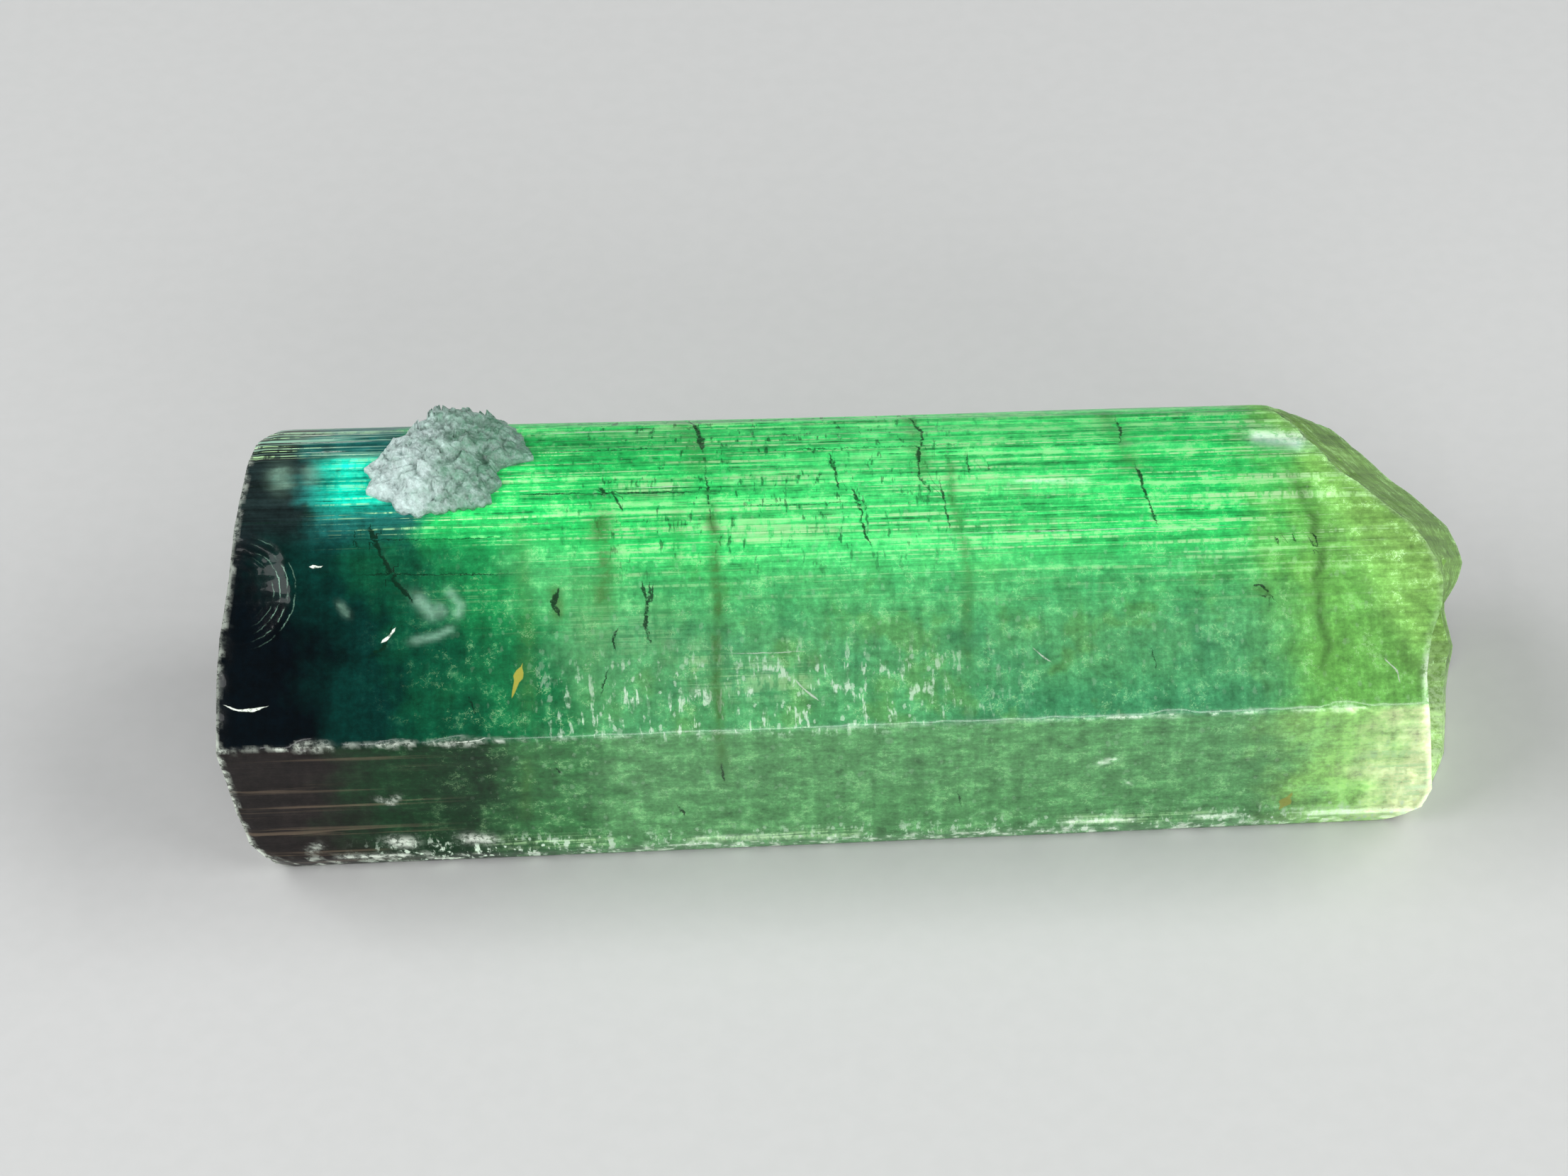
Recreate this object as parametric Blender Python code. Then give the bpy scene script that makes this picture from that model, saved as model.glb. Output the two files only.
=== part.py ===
"""A loose tourmaline crystal with a grain of albite grown on its upper faces.

The crystal lies along X on one of its prism faces. Its dark, broken base is at -X and its pale
termination at +X. The long ridge between its two broad faces looks towards -Y.
"""

import math

import bmesh
import bpy
import numpy as np
from mathutils import Vector, geometry

MM = 0.001

MAIN_LOOKS = 52

# The prism. Each face has the way it looks, in degrees above the horizon in front, and its width.
FACES = (
    ("foot_bevel", -30, 0.9 * MM),
    ("front", -8, 6.35 * MM),
    ("main", MAIN_LOOKS, 7.0 * MM),
    ("shoulder", 72, 2.2 * MM),
    ("crown", 88, 2.16 * MM),
    ("crown_back", 104, 2.13 * MM),
    ("brow_back", 122, 1.5 * MM),
    ("upper_back", 150, 2.8 * MM),
    ("back", 178, 3.4 * MM),
    ("lower_back", 208, 3.2 * MM),
)
UNDER_LOOKS = 238  # the last sloping face, which runs down to the face that the crystal rests on
FOOT_Y = -6.05 * MM  # the front edge of the resting face
RIDGE_AFTER = "front"  # the face that ends at the long ridge
NARROWS_BY = 0.048  # the section shrinks by this share from the base to the termination
BASE_X = -22.6 * MM
TIP_X = 22.6 * MM

# Growth grooves along the length: how many on each face, how deep, and where on the face they begin
GROOVES = {
    "front": (2, 0.05 * MM, 0.1),
    "main": (5, 0.06 * MM, 0.62),
    "shoulder": (5, 0.10 * MM, 0.0),
    "crown": (5, 0.12 * MM, 0.0),
    "crown_back": (5, 0.11 * MM, 0.0),
    "brow_back": (3, 0.10 * MM, 0.0),
    "upper_back": (5, 0.11 * MM, 0.0),
    "back": (5, 0.08 * MM, 0.0),
    "lower_back": (4, 0.08 * MM, 0.0),
    "under": (4, 0.06 * MM, 0.0),
}
GROOVE_SEED = 7
GROOVE_SWELL = 9 * MM  # a groove deepens and fades over about this length

# Both ends are heights over a slanting plane: "rise" runs up across the crystal at this lean, and
# "near" runs towards the front along it.
LEAN = math.radians(42)
RISE_MIDDLE = 3.6 * MM

# The termination. X of its skyline at each rise, for the main body, which ends in a blunt nose
NOSE_SKYLINE = (
    (-9.0, 14.5), (-7.5, 18.2), (-7.3, 19.1), (-7.0, 19.8), (-6.4, 20.3), (-4.0, 20.65),
    (-2.3, 20.85), (-0.8, 21.2), (0.2, 21.74), (0.85, 22.2), (1.2, 22.4), (1.85, 22.6),
    (2.45, 22.4), (3.2, 22.0), (4.65, 20.4), (5.9, 18.75), (7.05, 17.05), (7.7, 15.4), (8.1, 13.6),
    (9.0, 9.5),
)
NOSE_SKYLINE_NEAR = ((-8.0, 4.8), (-4.0, 0.4), (-2.0, -1.8), (2.0, -2.8), (5.0, -1.9), (8.0, 2.4))
NOSE_FALLS = ((-7.0, 0.12), (-0.8, 0.13), (0.2, 0.14), (1.85, 0.22), (5.0, 0.30), (7.0, 0.36))

# A second, shorter blade of the same crystal, grown side by side behind the main body
BLADE_SKYLINE = (
    (-9.0, 14.5), (-7.5, 18.1), (-7.0, 19.6), (-5.25, 20.65), (-3.7, 20.97), (-2.2, 21.2),
    (-1.4, 21.4), (-0.6, 21.23), (0.15, 21.1), (0.6, 20.0), (9.0, 0.0),
)
BLADE_FALLS = 0.15
BLADE_FRONT = ((-7.0, 5.6), (-3.0, 2.0), (9.0, 2.0))  # the near at which it begins, at each rise
BLADE_STEP = 0.12 * MM

# The broken base, X at each rise: nearly flat, bevelled below and rounded off above
BASE_SKYLINE = (
    (-9.0, -18.9), (-8.0, -20.4), (-7.55, -21.4), (-6.7, -22.2), (-5.5, -22.45), (-4.3, -22.55),
    (-3.5, -22.65), (-0.8, -22.6), (0.9, -22.45), (3.1, -22.15), (5.35, -21.9), (6.9, -21.7),
    (7.7, -21.5), (8.1, -21.1), (8.6, -20.2), (9.0, -19.0),
)
BASE_HOLLOW = 0.35 * MM  # the break is this much hollow, in the middle
BASE_HOLLOW_REACH = (7.5 * MM, 6.0 * MM)
BASE_MIDDLE_NEAR = 3.5 * MM
BASE_LINES = ((0.0, 3.5),)  # the near that the lines of its surface follow
BASE_SWELL_LENGTH = 1.5 * MM

# A shell-shaped scar where the main face meets the base: a bowl with rings around it
SCAR_AT = (-21.95 * MM, 2.5 * MM)  # X and rise of its middle
SCAR_RADIUS = 2.1 * MM
SCAR_DEPTH = 0.55 * MM
SCAR_RINGS = 4
SCAR_RING_DEPTH = 0.045 * MM

# Chips out of the ridge: X, length and depth
RIDGE_CHIPS = (
    (-19.3 * MM, 1.8 * MM, 0.24 * MM),
    (-16.4 * MM, 1.3 * MM, 0.17 * MM),
    (-14.2 * MM, 1.7 * MM, 0.20 * MM),
    (10.6 * MM, 1.5 * MM, 0.13 * MM),
    (16.5 * MM, 1.7 * MM, 0.18 * MM),
)
CHIP_ROUND = 0.6 * MM
RIDGE_LOOKS = 22  # half way between the faces on each side of the ridge

# The albite grain. Its outline is X along the crystal and the distance round from the foot.
ALBITE_MIDDLE = (-14.7 * MM, 18.5 * MM)
ALBITE_OUTLINE = (
    (-15.2, 22.3), (-14.2, 22.6), (-13.2, 22.0), (-12.5, 21.0), (-12.2, 20.2), (-11.8, 19.1),
    (-11.4, 18.2), (-12.3, 17.9), (-12.8, 17.6), (-12.7, 17.0), (-13.0, 16.5), (-13.0, 16.0),
    (-13.6, 15.8), (-14.3, 15.7), (-15.2, 15.7), (-16.2, 15.6), (-16.5, 16.0), (-17.4, 16.6),
    (-17.1, 17.3), (-17.6, 17.8), (-17.0, 18.3), (-16.6, 19.3), (-16.2, 19.8), (-15.6, 20.6),
)
ALBITE_CREST = ((-15.9 * MM, 16.6 * MM), (-15.1 * MM, 20.9 * MM))
ALBITE_SLOPES = (2.0 * MM, 4.0 * MM)  # how far the grain reaches down each side of its crest
ALBITE_TOP = 22.6 * MM  # the girth by which its crest has fallen away
ALBITE_HEIGHT = 0.75 * MM
ALBITE_GRAIN = 0.5 * MM  # about how wide its facets are
ALBITE_RIM = 0.14 * MM
ALBITE_LUMPS = 0.13 * MM
ALBITE_SEED = 5
SEAT_DEPTH = 0.45 * MM
SEAT_GAP = 0.3 * MM
CUTTER_REACH = 2.0 * MM  # how far a cutter stands out of the crystal

PRISM_STATIONS = 15
BLANK_END = 25 * MM  # the prism is made this long each way before its ends are cut


def clear_scene():
    for old in list(bpy.data.objects):
        bpy.data.objects.remove(old)


def section():
    """Section points (y, z) at the base, their outward normals, groove depths, girths and names."""
    rng = np.random.default_rng(GROOVE_SEED)
    y, z, girth = FOOT_Y, 0.0, 0.0
    points = []

    def along_face(name, looks, width):
        nonlocal y, z, girth
        a = math.radians(looks)
        normal = (-math.cos(a), math.sin(a))
        way = (math.sin(a), math.cos(a))
        count, depth, begins = GROOVES.get(name, (0, 0.0, 0.0))
        points.append((y, z, *normal, 0.0, girth, name))
        pitch = width * (1 - begins) / max(count, 1)
        for k in range(count):
            middle = width * begins + (k + 0.5 + rng.uniform(-0.16, 0.16)) * pitch
            half = pitch * rng.uniform(0.16, 0.26)
            cut = depth * rng.uniform(0.5, 1.0)
            for at, sunk in ((middle - half, 0.0), (middle + 0.3 * half, cut), (middle + half, 0.0)):
                points.append((y + way[0] * at, z + way[1] * at, *normal, sunk, girth + at, name))
        y, z, girth = y + way[0] * width, z + way[1] * width, girth + width

    for name, looks, width in FACES:
        along_face(name, looks, width)
    under_width = z / -math.cos(math.radians(UNDER_LOOKS))
    along_face("under", UNDER_LOOKS, under_width)
    rest_width = y - FOOT_Y
    for share in (0.0, 0.25, 0.5, 0.75):
        points.append((y - rest_width * share, 0.0, 0.0, -1.0, 0.0, girth + rest_width * share, "rest"))
    values = np.array([p[:6] for p in points])
    return values, [p[6] for p in points]


def corner_of(values, names, face):
    """Where the named face ends."""
    last = max(i for i, name in enumerate(names) if name == face)
    return values[last + 1, :2]


def narrowed(y, z, x):
    """The section shrinks towards the middle of the resting face from the base to the termination."""
    left = 1 - NARROWS_BY * np.clip((x - BASE_X) / (TIP_X - BASE_X), 0, 1)
    return y * left, z * left


def rise_and_near(y, z):
    rise = z * math.cos(LEAN) + y * math.sin(LEAN) - RISE_MIDDLE
    near = z * math.sin(LEAN) - y * math.cos(LEAN)
    return rise, near


def place(rise, near):
    """The y and z of a point with this rise and near."""
    up = rise + RISE_MIDDLE
    return up * math.sin(LEAN) - near * math.cos(LEAN), up * math.cos(LEAN) + near * math.sin(LEAN)


def at_rise(table, rise):
    """The value at this rise in a table of (rise in millimetres, value)."""
    rises, values = np.array(table).T
    return np.interp(rise / MM, rises, values)


def tip_height(rise, near):
    """X of the termination: the main body's nose or the blade behind it, whichever stands out."""
    behind = at_rise(NOSE_SKYLINE_NEAR, rise) * MM
    nose = at_rise(NOSE_SKYLINE, rise) * MM - at_rise(NOSE_FALLS, rise) * (near - behind)
    front = at_rise(BLADE_FRONT, rise) * MM
    blade = at_rise(BLADE_SKYLINE, rise) * MM - BLADE_FALLS * (near - front)
    return np.where(near <= front, np.maximum(nose, blade), nose)


def base_height(rise, near):
    """X of the broken base, hollow in the middle, with low swells."""
    x = at_rise(BASE_SKYLINE, rise) * MM
    up = rise / BASE_HOLLOW_REACH[0]
    across = (near - BASE_MIDDLE_NEAR) / BASE_HOLLOW_REACH[1]
    inside = np.clip(1 - up**2, 0, 1) * np.clip(1 - across**2, 0, 1)
    swell = 0.7 + 0.3 * np.sin(rise / BASE_SWELL_LENGTH + 1) * np.cos(near / BASE_SWELL_LENGTH)
    return x + BASE_HOLLOW * inside * swell


def albite_reach(x, girth):
    """Distance from the grain's middle as a share of its outline in that direction."""
    corners = np.array(ALBITE_OUTLINE) * MM - np.array(ALBITE_MIDDLE)
    turn = np.arctan2(corners[:, 1], corners[:, 0])
    order = np.argsort(turn)
    radius = np.hypot(corners[:, 0], corners[:, 1])[order]
    dx, dg = x - ALBITE_MIDDLE[0], girth - ALBITE_MIDDLE[1]
    outline = np.interp(np.arctan2(dg, dx), turn[order], radius, period=2 * math.pi)
    return np.hypot(dx, dg) / outline


def groove_strength(x, girth):
    """Grooves deepen and fade along the crystal, each in its own rhythm."""
    return 0.65 + 0.35 * np.sin(x / GROOVE_SWELL * 2 + girth * 5 / MM)


def prism_ring(x, values):
    """Section points moved to station X, with the grooves sunk into them."""
    y, z = narrowed(values[:, 0], values[:, 1], x)
    sunk = values[:, 4] * groove_strength(x, values[:, 5])
    return np.full(len(y), x), y - values[:, 2] * sunk, z - values[:, 3] * sunk


def skinned(name, rings, start_pole, end_pole):
    """An object whose faces join each closed ring of points to the next, and the ends to poles."""
    form = bmesh.new()
    loops = [[form.verts.new(point) for point in zip(*ring)] for ring in rings]
    for ring, following in zip(loops, loops[1:]):
        for k, corner in enumerate(ring):
            after = (k + 1) % len(ring)
            form.faces.new((corner, following[k], following[after], ring[after]))
    for ring, pole, turned in ((loops[0], start_pole, False), (loops[-1], end_pole, True)):
        centre = form.verts.new(pole)
        for k, corner in enumerate(ring):
            after = ring[(k + 1) % len(ring)]
            form.faces.new((centre, after, corner) if turned else (centre, corner, after))
    return object_of(name, form)


def object_of(name, form):
    """A linked object made from a closed form, whose faces all look out."""
    bmesh.ops.recalc_face_normals(form, faces=form.faces)
    mesh = bpy.data.meshes.new(name)
    form.to_mesh(mesh)
    form.free()
    made = bpy.data.objects.new(name, mesh)
    bpy.context.scene.collection.objects.link(made)
    return made


def object_of_faces(name, points, faces):
    form = bmesh.new()
    corners = [form.verts.new(point) for point in points]
    for face in faces:
        form.faces.new([corners[k] for k in face])
    return object_of(name, form)


def finish(name, colour, roughness):
    material = bpy.data.materials.new(name)
    material.use_nodes = True
    shader = material.node_tree.nodes["Principled BSDF"]
    shader.inputs["Base Color"].default_value = (*colour, 1)
    shader.inputs["Roughness"].default_value = roughness
    shader.inputs["Metallic"].default_value = 0.0
    return material


def draped_block(name, height, rises, fronts, far_x):
    """A closed block between a surface given as heights over rise and near, and the plane at far_x.

    The lines of its grid that run up across the crystal follow fronts, a table of near at each rise.
    """
    offsets = np.array([-16, -10, -7, -5, -3.5, -1.5, 0, BLADE_STEP / MM, 2, 4, 6, 8, 12, 17]) * MM
    rise, offset = (grid.ravel() for grid in np.meshgrid(rises, offsets, indexing="ij"))
    near = offset + at_rise(fronts, rise) * MM
    y, z = place(rise, near)
    across = len(offsets)
    points = np.concatenate(
        [np.stack([height(rise, near), y, z], 1), np.stack([np.full(len(y), far_x), y, z], 1)]
    )
    faces = []
    behind = len(y)
    for i in range(len(rises) - 1):
        for j in range(across - 1):
            a = i * across + j
            faces.append((a, a + 1, a + across + 1, a + across))
            faces.append((behind + a, behind + a + across, behind + a + across + 1, behind + a + 1))
    border = list(range(across))
    border += [i * across + across - 1 for i in range(1, len(rises))]
    border += [(len(rises) - 1) * across + j for j in range(across - 2, -1, -1)]
    border += [i * across for i in range(len(rises) - 2, 0, -1)]
    for a, b in zip(border, border[1:] + border[:1]):
        faces.append((a, behind + a, behind + b, b))
    return object_of_faces(name, points, faces)


def scar_cutter(values, names):
    """A lens with rings on its inner side, standing on the main face at the base."""
    looks = math.radians(MAIN_LOOKS)
    out = np.array([0, -math.cos(looks), math.sin(looks)])
    along = np.array([1.0, 0, 0])
    across = np.cross(out, along)
    corner = corner_of(values, names, "main")
    rise = corner[1] * math.cos(LEAN) + corner[0] * math.sin(LEAN) - RISE_MIDDLE
    down = (rise - SCAR_AT[1]) / math.cos(looks - LEAN)
    y, z = corner[0] - down * math.sin(looks), corner[1] - down * math.cos(looks)
    middle = np.array([SCAR_AT[0], y, z])
    shares = np.linspace(0.12, 1.25, 14)
    depth = SCAR_DEPTH * (1 - shares**2)
    depth += SCAR_RING_DEPTH * np.sin(2 * math.pi * SCAR_RINGS * shares) * np.clip(shares * 1.6, 0, 1)
    turns = np.linspace(0, 2 * math.pi, 28, endpoint=False)
    spokes = np.cos(turns)[:, None] * along + np.sin(turns)[:, None] * across
    rings = [(middle + spokes * share * SCAR_RADIUS - out * sunk).T for share, sunk in zip(shares, depth)]
    rings.append((middle + spokes * shares[-1] * SCAR_RADIUS + out * CUTTER_REACH).T)
    low = tuple(middle - out * SCAR_DEPTH)
    return skinned("scar_cutter", rings, low, tuple(middle + out * CUTTER_REACH))


def chip_cutter(k, chip, ridge):
    """A long, low lump whose inner side bites into the ridge."""
    at, length, depth = chip
    y, z = narrowed(*ridge, at)
    form = bmesh.new()
    bmesh.ops.create_icosphere(form, subdivisions=2, radius=CHIP_ROUND)
    rng = np.random.default_rng(k)
    outwards = math.radians(RIDGE_LOOKS)
    offset = CHIP_ROUND - depth
    for vertex in form.verts:
        vertex.co *= 1 + 0.12 * rng.uniform(-1, 1)
        vertex.co.x = at + vertex.co.x * length / (2 * math.sqrt(2 * depth / CHIP_ROUND) * CHIP_ROUND)
        vertex.co.y += y - math.cos(outwards) * offset
        vertex.co.z += z + math.sin(outwards) * offset
    return object_of(f"chip_cutter_{k}", form)


def cut(body, cutter):
    cutter.hide_render = True
    cutter.display_type = "WIRE"
    step = body.modifiers.new(cutter.name, "BOOLEAN")
    step.operation = "DIFFERENCE"
    step.solver = "EXACT"
    step.object = cutter


def make_crystal(values, names):
    ridge = corner_of(values, names, RIDGE_AFTER)
    rings = [prism_ring(x, values) for x in np.linspace(-BLANK_END, BLANK_END, PRISM_STATIONS)]
    middle = (float(values[:, 0].mean()), float(values[:, 1].mean()))
    crystal = skinned("tourmaline_crystal", rings, (-BLANK_END, *middle), (BLANK_END, *middle))
    tip_rises = np.unique([rise for rise, _ in NOSE_SKYLINE + BLADE_SKYLINE]) * MM
    base_rises = np.array([rise for rise, _ in BASE_SKYLINE]) * MM
    beyond = BLANK_END + CUTTER_REACH
    cut(crystal, draped_block("tip_cutter", tip_height, tip_rises, BLADE_FRONT, beyond))
    cut(crystal, draped_block("base_cutter", base_height, base_rises, BASE_LINES, -beyond))
    cut(crystal, scar_cutter(values, names))
    cut(crystal, make_seat_cutter(values))
    for k, chip in enumerate(RIDGE_CHIPS):
        cut(crystal, chip_cutter(k, chip, ridge))
    crystal.data.materials.append(finish("tourmaline", (0.09, 0.42, 0.16), 0.12))
    return crystal


def on_crystal(x, girth, values, lift):
    """The point at X and this distance round the section, lifted off the face by lift."""
    y, z, ny, nz = (np.interp(girth, values[:, 5], values[:, k]) for k in range(4))
    y, z = narrowed(y, z, x)
    long = np.hypot(ny, nz)
    return x, y + ny / long * lift, z + nz / long * lift


def albite_outline(grown=0.0):
    """The grain's jagged outline as X and girth, with points between its corners, grown outwards."""
    corners = np.array(ALBITE_OUTLINE) * MM
    halves = (corners + np.roll(corners, -1, axis=0)) / 2
    outline = np.stack([corners, halves], axis=1).reshape(-1, 2)
    spokes = outline - ALBITE_MIDDLE
    return spokes + spokes / np.linalg.norm(spokes, axis=1)[:, None] * grown


def make_seat_cutter(values):
    """The hollow that the grain grew in: its outline with a gap around, SEAT_DEPTH deep."""
    plain = values[values[:, 4] == 0]
    spokes = albite_outline(SEAT_GAP * 1.3)
    rings = []
    for share, lift in ((0.4, -SEAT_DEPTH), (0.75, -SEAT_DEPTH), (1, -SEAT_DEPTH), (1, CUTTER_REACH)):
        at = ALBITE_MIDDLE + spokes * share
        rings.append(on_crystal(at[:, 0], at[:, 1], plain, lift))
    low = on_crystal(*ALBITE_MIDDLE, plain, -SEAT_DEPTH)
    high = on_crystal(*ALBITE_MIDDLE, plain, CUTTER_REACH)
    return skinned("seat_cutter", rings, low, high)


def albite_lift(x, girth):
    """Height of the grain's tent-shaped top over the faces it sits on."""
    start, end = (np.array(point) for point in ALBITE_CREST)
    way = (end - start) / np.linalg.norm(end - start)
    across = (x - start[0]) * way[1] - (girth - start[1]) * way[0]
    left, right = ALBITE_SLOPES
    tent = np.clip(1 - np.abs(across) / np.where(across < 0, left, right), 0, 1)
    edge = np.clip((1 - albite_reach(x, girth)) / 0.3, 0, 1) ** 0.7
    tent = tent * np.clip((ALBITE_TOP - girth) / (ALBITE_TOP - end[1]), 0.3, 1)
    return ALBITE_RIM + (ALBITE_HEIGHT - ALBITE_RIM) * tent * edge


def make_albite(values):
    """A low, tent-shaped grain with a jagged outline and small facets, sitting in its hollow."""
    plain = values[values[:, 4] == 0]
    rng = np.random.default_rng(ALBITE_SEED)
    outline = albite_outline() + ALBITE_MIDDLE
    grid = np.stack(np.meshgrid(np.arange(-9, 10), np.arange(-9, 10)), -1).reshape(-1, 2)
    inside = ALBITE_MIDDLE + (grid + rng.uniform(-0.35, 0.35, grid.shape)) * ALBITE_GRAIN
    inside = inside[albite_reach(*inside.T) < 0.9]
    flat = np.concatenate([outline, inside]) / MM
    rim = len(outline)
    found = geometry.delaunay_2d_cdt([Vector(p) for p in flat], [], [list(range(rim))], 1, 1e-6)
    x, girth = (np.array([tuple(p) for p in found[0]]) * MM).T
    lumps = ALBITE_LUMPS * rng.uniform(-1, 1, len(x)) * (albite_reach(x, girth) < 0.95)
    top = np.stack(on_crystal(x, girth, plain, albite_lift(x, girth) + lumps), 1)
    below = np.stack(on_crystal(x, girth, plain, SEAT_GAP - SEAT_DEPTH), 1)
    count = len(x)
    faces = [tuple(face) for face in found[2]]
    sides = {(face[k], face[(k + 1) % 3]) for face in faces for k in range(3)}
    walls = [(a, b, b + count, a + count) for a, b in sides if (b, a) not in sides]
    under = [tuple(corner + count for corner in reversed(face)) for face in faces]
    grain = object_of_faces("albite_grain", np.concatenate([top, below]), faces + under + walls)
    grain.data.materials.append(finish("albite", (0.72, 0.76, 0.74), 0.55))
    return grain


def centre_over_origin(crystal, grain):
    """Moves everything so that the middle of the finished bounding box stands over the origin."""
    graph = bpy.context.evaluated_depsgraph_get()
    points = []
    for made in (crystal, grain):
        finished = made.evaluated_get(graph).to_mesh()
        points += [tuple(vertex.co) for vertex in finished.vertices]
        made.evaluated_get(graph).to_mesh_clear()
    middle = (np.array(points).min(0) + np.array(points).max(0)) / 2
    for made in bpy.data.objects:
        for vertex in made.data.vertices:
            vertex.co.x -= middle[0]
            vertex.co.y -= middle[1]


def main():
    clear_scene()
    values, names = section()
    centre_over_origin(make_crystal(values, names), make_albite(values))


main()
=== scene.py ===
"""A loose tourmaline crystal with a grain of albite on it: its looks, a plain studio and a camera.

Lengths are worked out in millimetres, in the crystal's own frame, and put into metres when a mesh is
made. "Girth" is the distance round the crystal's section from its foot at the front. "Rise" runs up
across the crystal as the camera sees it, and "near" runs towards the camera.
"""

import math

import bpy
import numpy as np
from mathutils import Matrix, Vector


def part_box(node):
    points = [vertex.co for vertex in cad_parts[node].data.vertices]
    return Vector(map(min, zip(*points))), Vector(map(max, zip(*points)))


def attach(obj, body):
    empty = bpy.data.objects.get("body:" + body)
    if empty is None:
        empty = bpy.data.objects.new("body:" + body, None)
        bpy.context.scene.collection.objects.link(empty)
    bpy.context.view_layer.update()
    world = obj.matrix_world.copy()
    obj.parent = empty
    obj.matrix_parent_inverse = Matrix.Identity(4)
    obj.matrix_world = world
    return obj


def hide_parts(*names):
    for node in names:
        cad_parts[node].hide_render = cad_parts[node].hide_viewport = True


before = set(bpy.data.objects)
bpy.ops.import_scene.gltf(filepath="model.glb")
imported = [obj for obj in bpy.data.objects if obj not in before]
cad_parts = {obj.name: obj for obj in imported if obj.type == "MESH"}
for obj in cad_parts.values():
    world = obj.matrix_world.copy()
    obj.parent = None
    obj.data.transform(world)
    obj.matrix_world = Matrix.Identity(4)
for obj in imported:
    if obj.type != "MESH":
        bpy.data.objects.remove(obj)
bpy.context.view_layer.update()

bl_info = {
    "name": "Tourmaline Crystal",
    "version": (1, 0, 0),
    "blender": (4, 5, 0),
    "location": "View3D > Sidebar > Tourmaline",
    "description": "Makes a tourmaline crystal with a grain of albite, and a plain studio around it",
    "category": "Object",
}

MM = 0.001
CRYSTAL_NODE = "tourmaline_crystal"
GRAIN_NODE = "albite_grain"

# The prism: each face, the way it looks in degrees above the horizon in front, and its width in mm
MAIN_LOOKS = 52
FACES = (
    ("foot_bevel", -30, 0.9),
    ("front", -8, 6.35),
    ("main", MAIN_LOOKS, 7.0),
    ("shoulder", 72, 2.2),
    ("crown", 88, 2.16),
    ("crown_back", 104, 2.13),
    ("brow_back", 122, 1.5),
    ("upper_back", 150, 2.8),
    ("back", 178, 3.4),
    ("lower_back", 208, 3.2),
)
UNDER_LOOKS = 238
FOOT_Y = -6.05
NARROWS_BY = 0.048
BASE_X, TIP_X = -22.6, 22.6

# Growth grooves, as in the solid: how many on each face, how deep, and where on the face they begin
GROOVES = {
    "front": (2, 0.05, 0.1),
    "main": (5, 0.06, 0.62),
    "shoulder": (5, 0.10, 0.0),
    "crown": (5, 0.12, 0.0),
    "crown_back": (5, 0.11, 0.0),
    "brow_back": (3, 0.10, 0.0),
    "upper_back": (5, 0.11, 0.0),
    "back": (5, 0.08, 0.0),
    "lower_back": (4, 0.08, 0.0),
    "under": (4, 0.06, 0.0),
}
GROOVE_SEED = 7
GROOVE_SWELL = 9.0

# How far apart the mesh's columns stand on each face
COLUMN_STEPS = {
    "foot_bevel": 0.15,
    "front": 0.17,
    "main": 0.115,
    "shoulder": 0.09,
    "crown": 0.09,
    "crown_back": 0.09,
    "brow_back": 0.1,
    "upper_back": 0.17,
    "back": 0.2,
    "lower_back": 0.22,
    "under": 0.3,
    "rest": 0.6,
}
STATIONS = 280
END_STATIONS = (0.0, 0.0013, 0.0033, 0.0065)  # extra ones at each end, as shares of the length
BASE_RINGS, TIP_RINGS = 14, 30

# Fine growth lines: how long they run, how wide they are, how high, and the seed of each set
GROWTH_LINES = ((16.0, 0.8, 0.030, 11), (9.0, 0.33, 0.022, 12), (6.0, 0.17, 0.012, 13))
LINED = {  # how strongly each face is lined
    "foot_bevel": 0.3,
    "front": 0.3,
    "main": 0.25,
    "shoulder": 1.0,
    "crown": 1.0,
    "crown_back": 1.0,
    "brow_back": 1.0,
    "upper_back": 1.0,
    "back": 0.9,
    "lower_back": 0.8,
    "under": 0.6,
    "rest": 0.0,
}

LEAN = math.radians(42)
RISE_MIDDLE = 3.6

# The termination: X of its skyline at each rise, for the main body and for the blade behind it
NOSE_SKYLINE = (
    (-9.0, 14.5), (-7.5, 18.2), (-7.3, 19.1), (-7.0, 19.8), (-6.4, 20.3), (-4.0, 20.65),
    (-2.3, 20.85), (-0.8, 21.2), (0.2, 21.74), (0.85, 22.2), (1.2, 22.4), (1.85, 22.6),
    (2.45, 22.4), (3.2, 22.0), (4.65, 20.4), (5.9, 18.75), (7.05, 17.05), (7.7, 15.4), (8.1, 13.6),
    (9.0, 9.5),
)
NOSE_SKYLINE_NEAR = ((-8.0, 4.8), (-4.0, 0.4), (-2.0, -1.8), (2.0, -2.8), (5.0, -1.9), (8.0, 2.4))
NOSE_FALLS = ((-7.0, 0.12), (-0.8, 0.13), (0.2, 0.14), (1.85, 0.22), (5.0, 0.30), (7.0, 0.36))
BLADE_SKYLINE = (
    (-9.0, 14.5), (-7.5, 18.1), (-7.0, 19.6), (-5.25, 20.65), (-3.7, 20.97), (-2.2, 21.2),
    (-1.4, 21.4), (-0.6, 21.23), (0.15, 21.1), (0.6, 20.0), (9.0, 0.0),
)
BLADE_FALLS = 0.15
BLADE_FRONT = ((-7.0, 5.6), (-3.0, 2.0), (9.0, 2.0))

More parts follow.
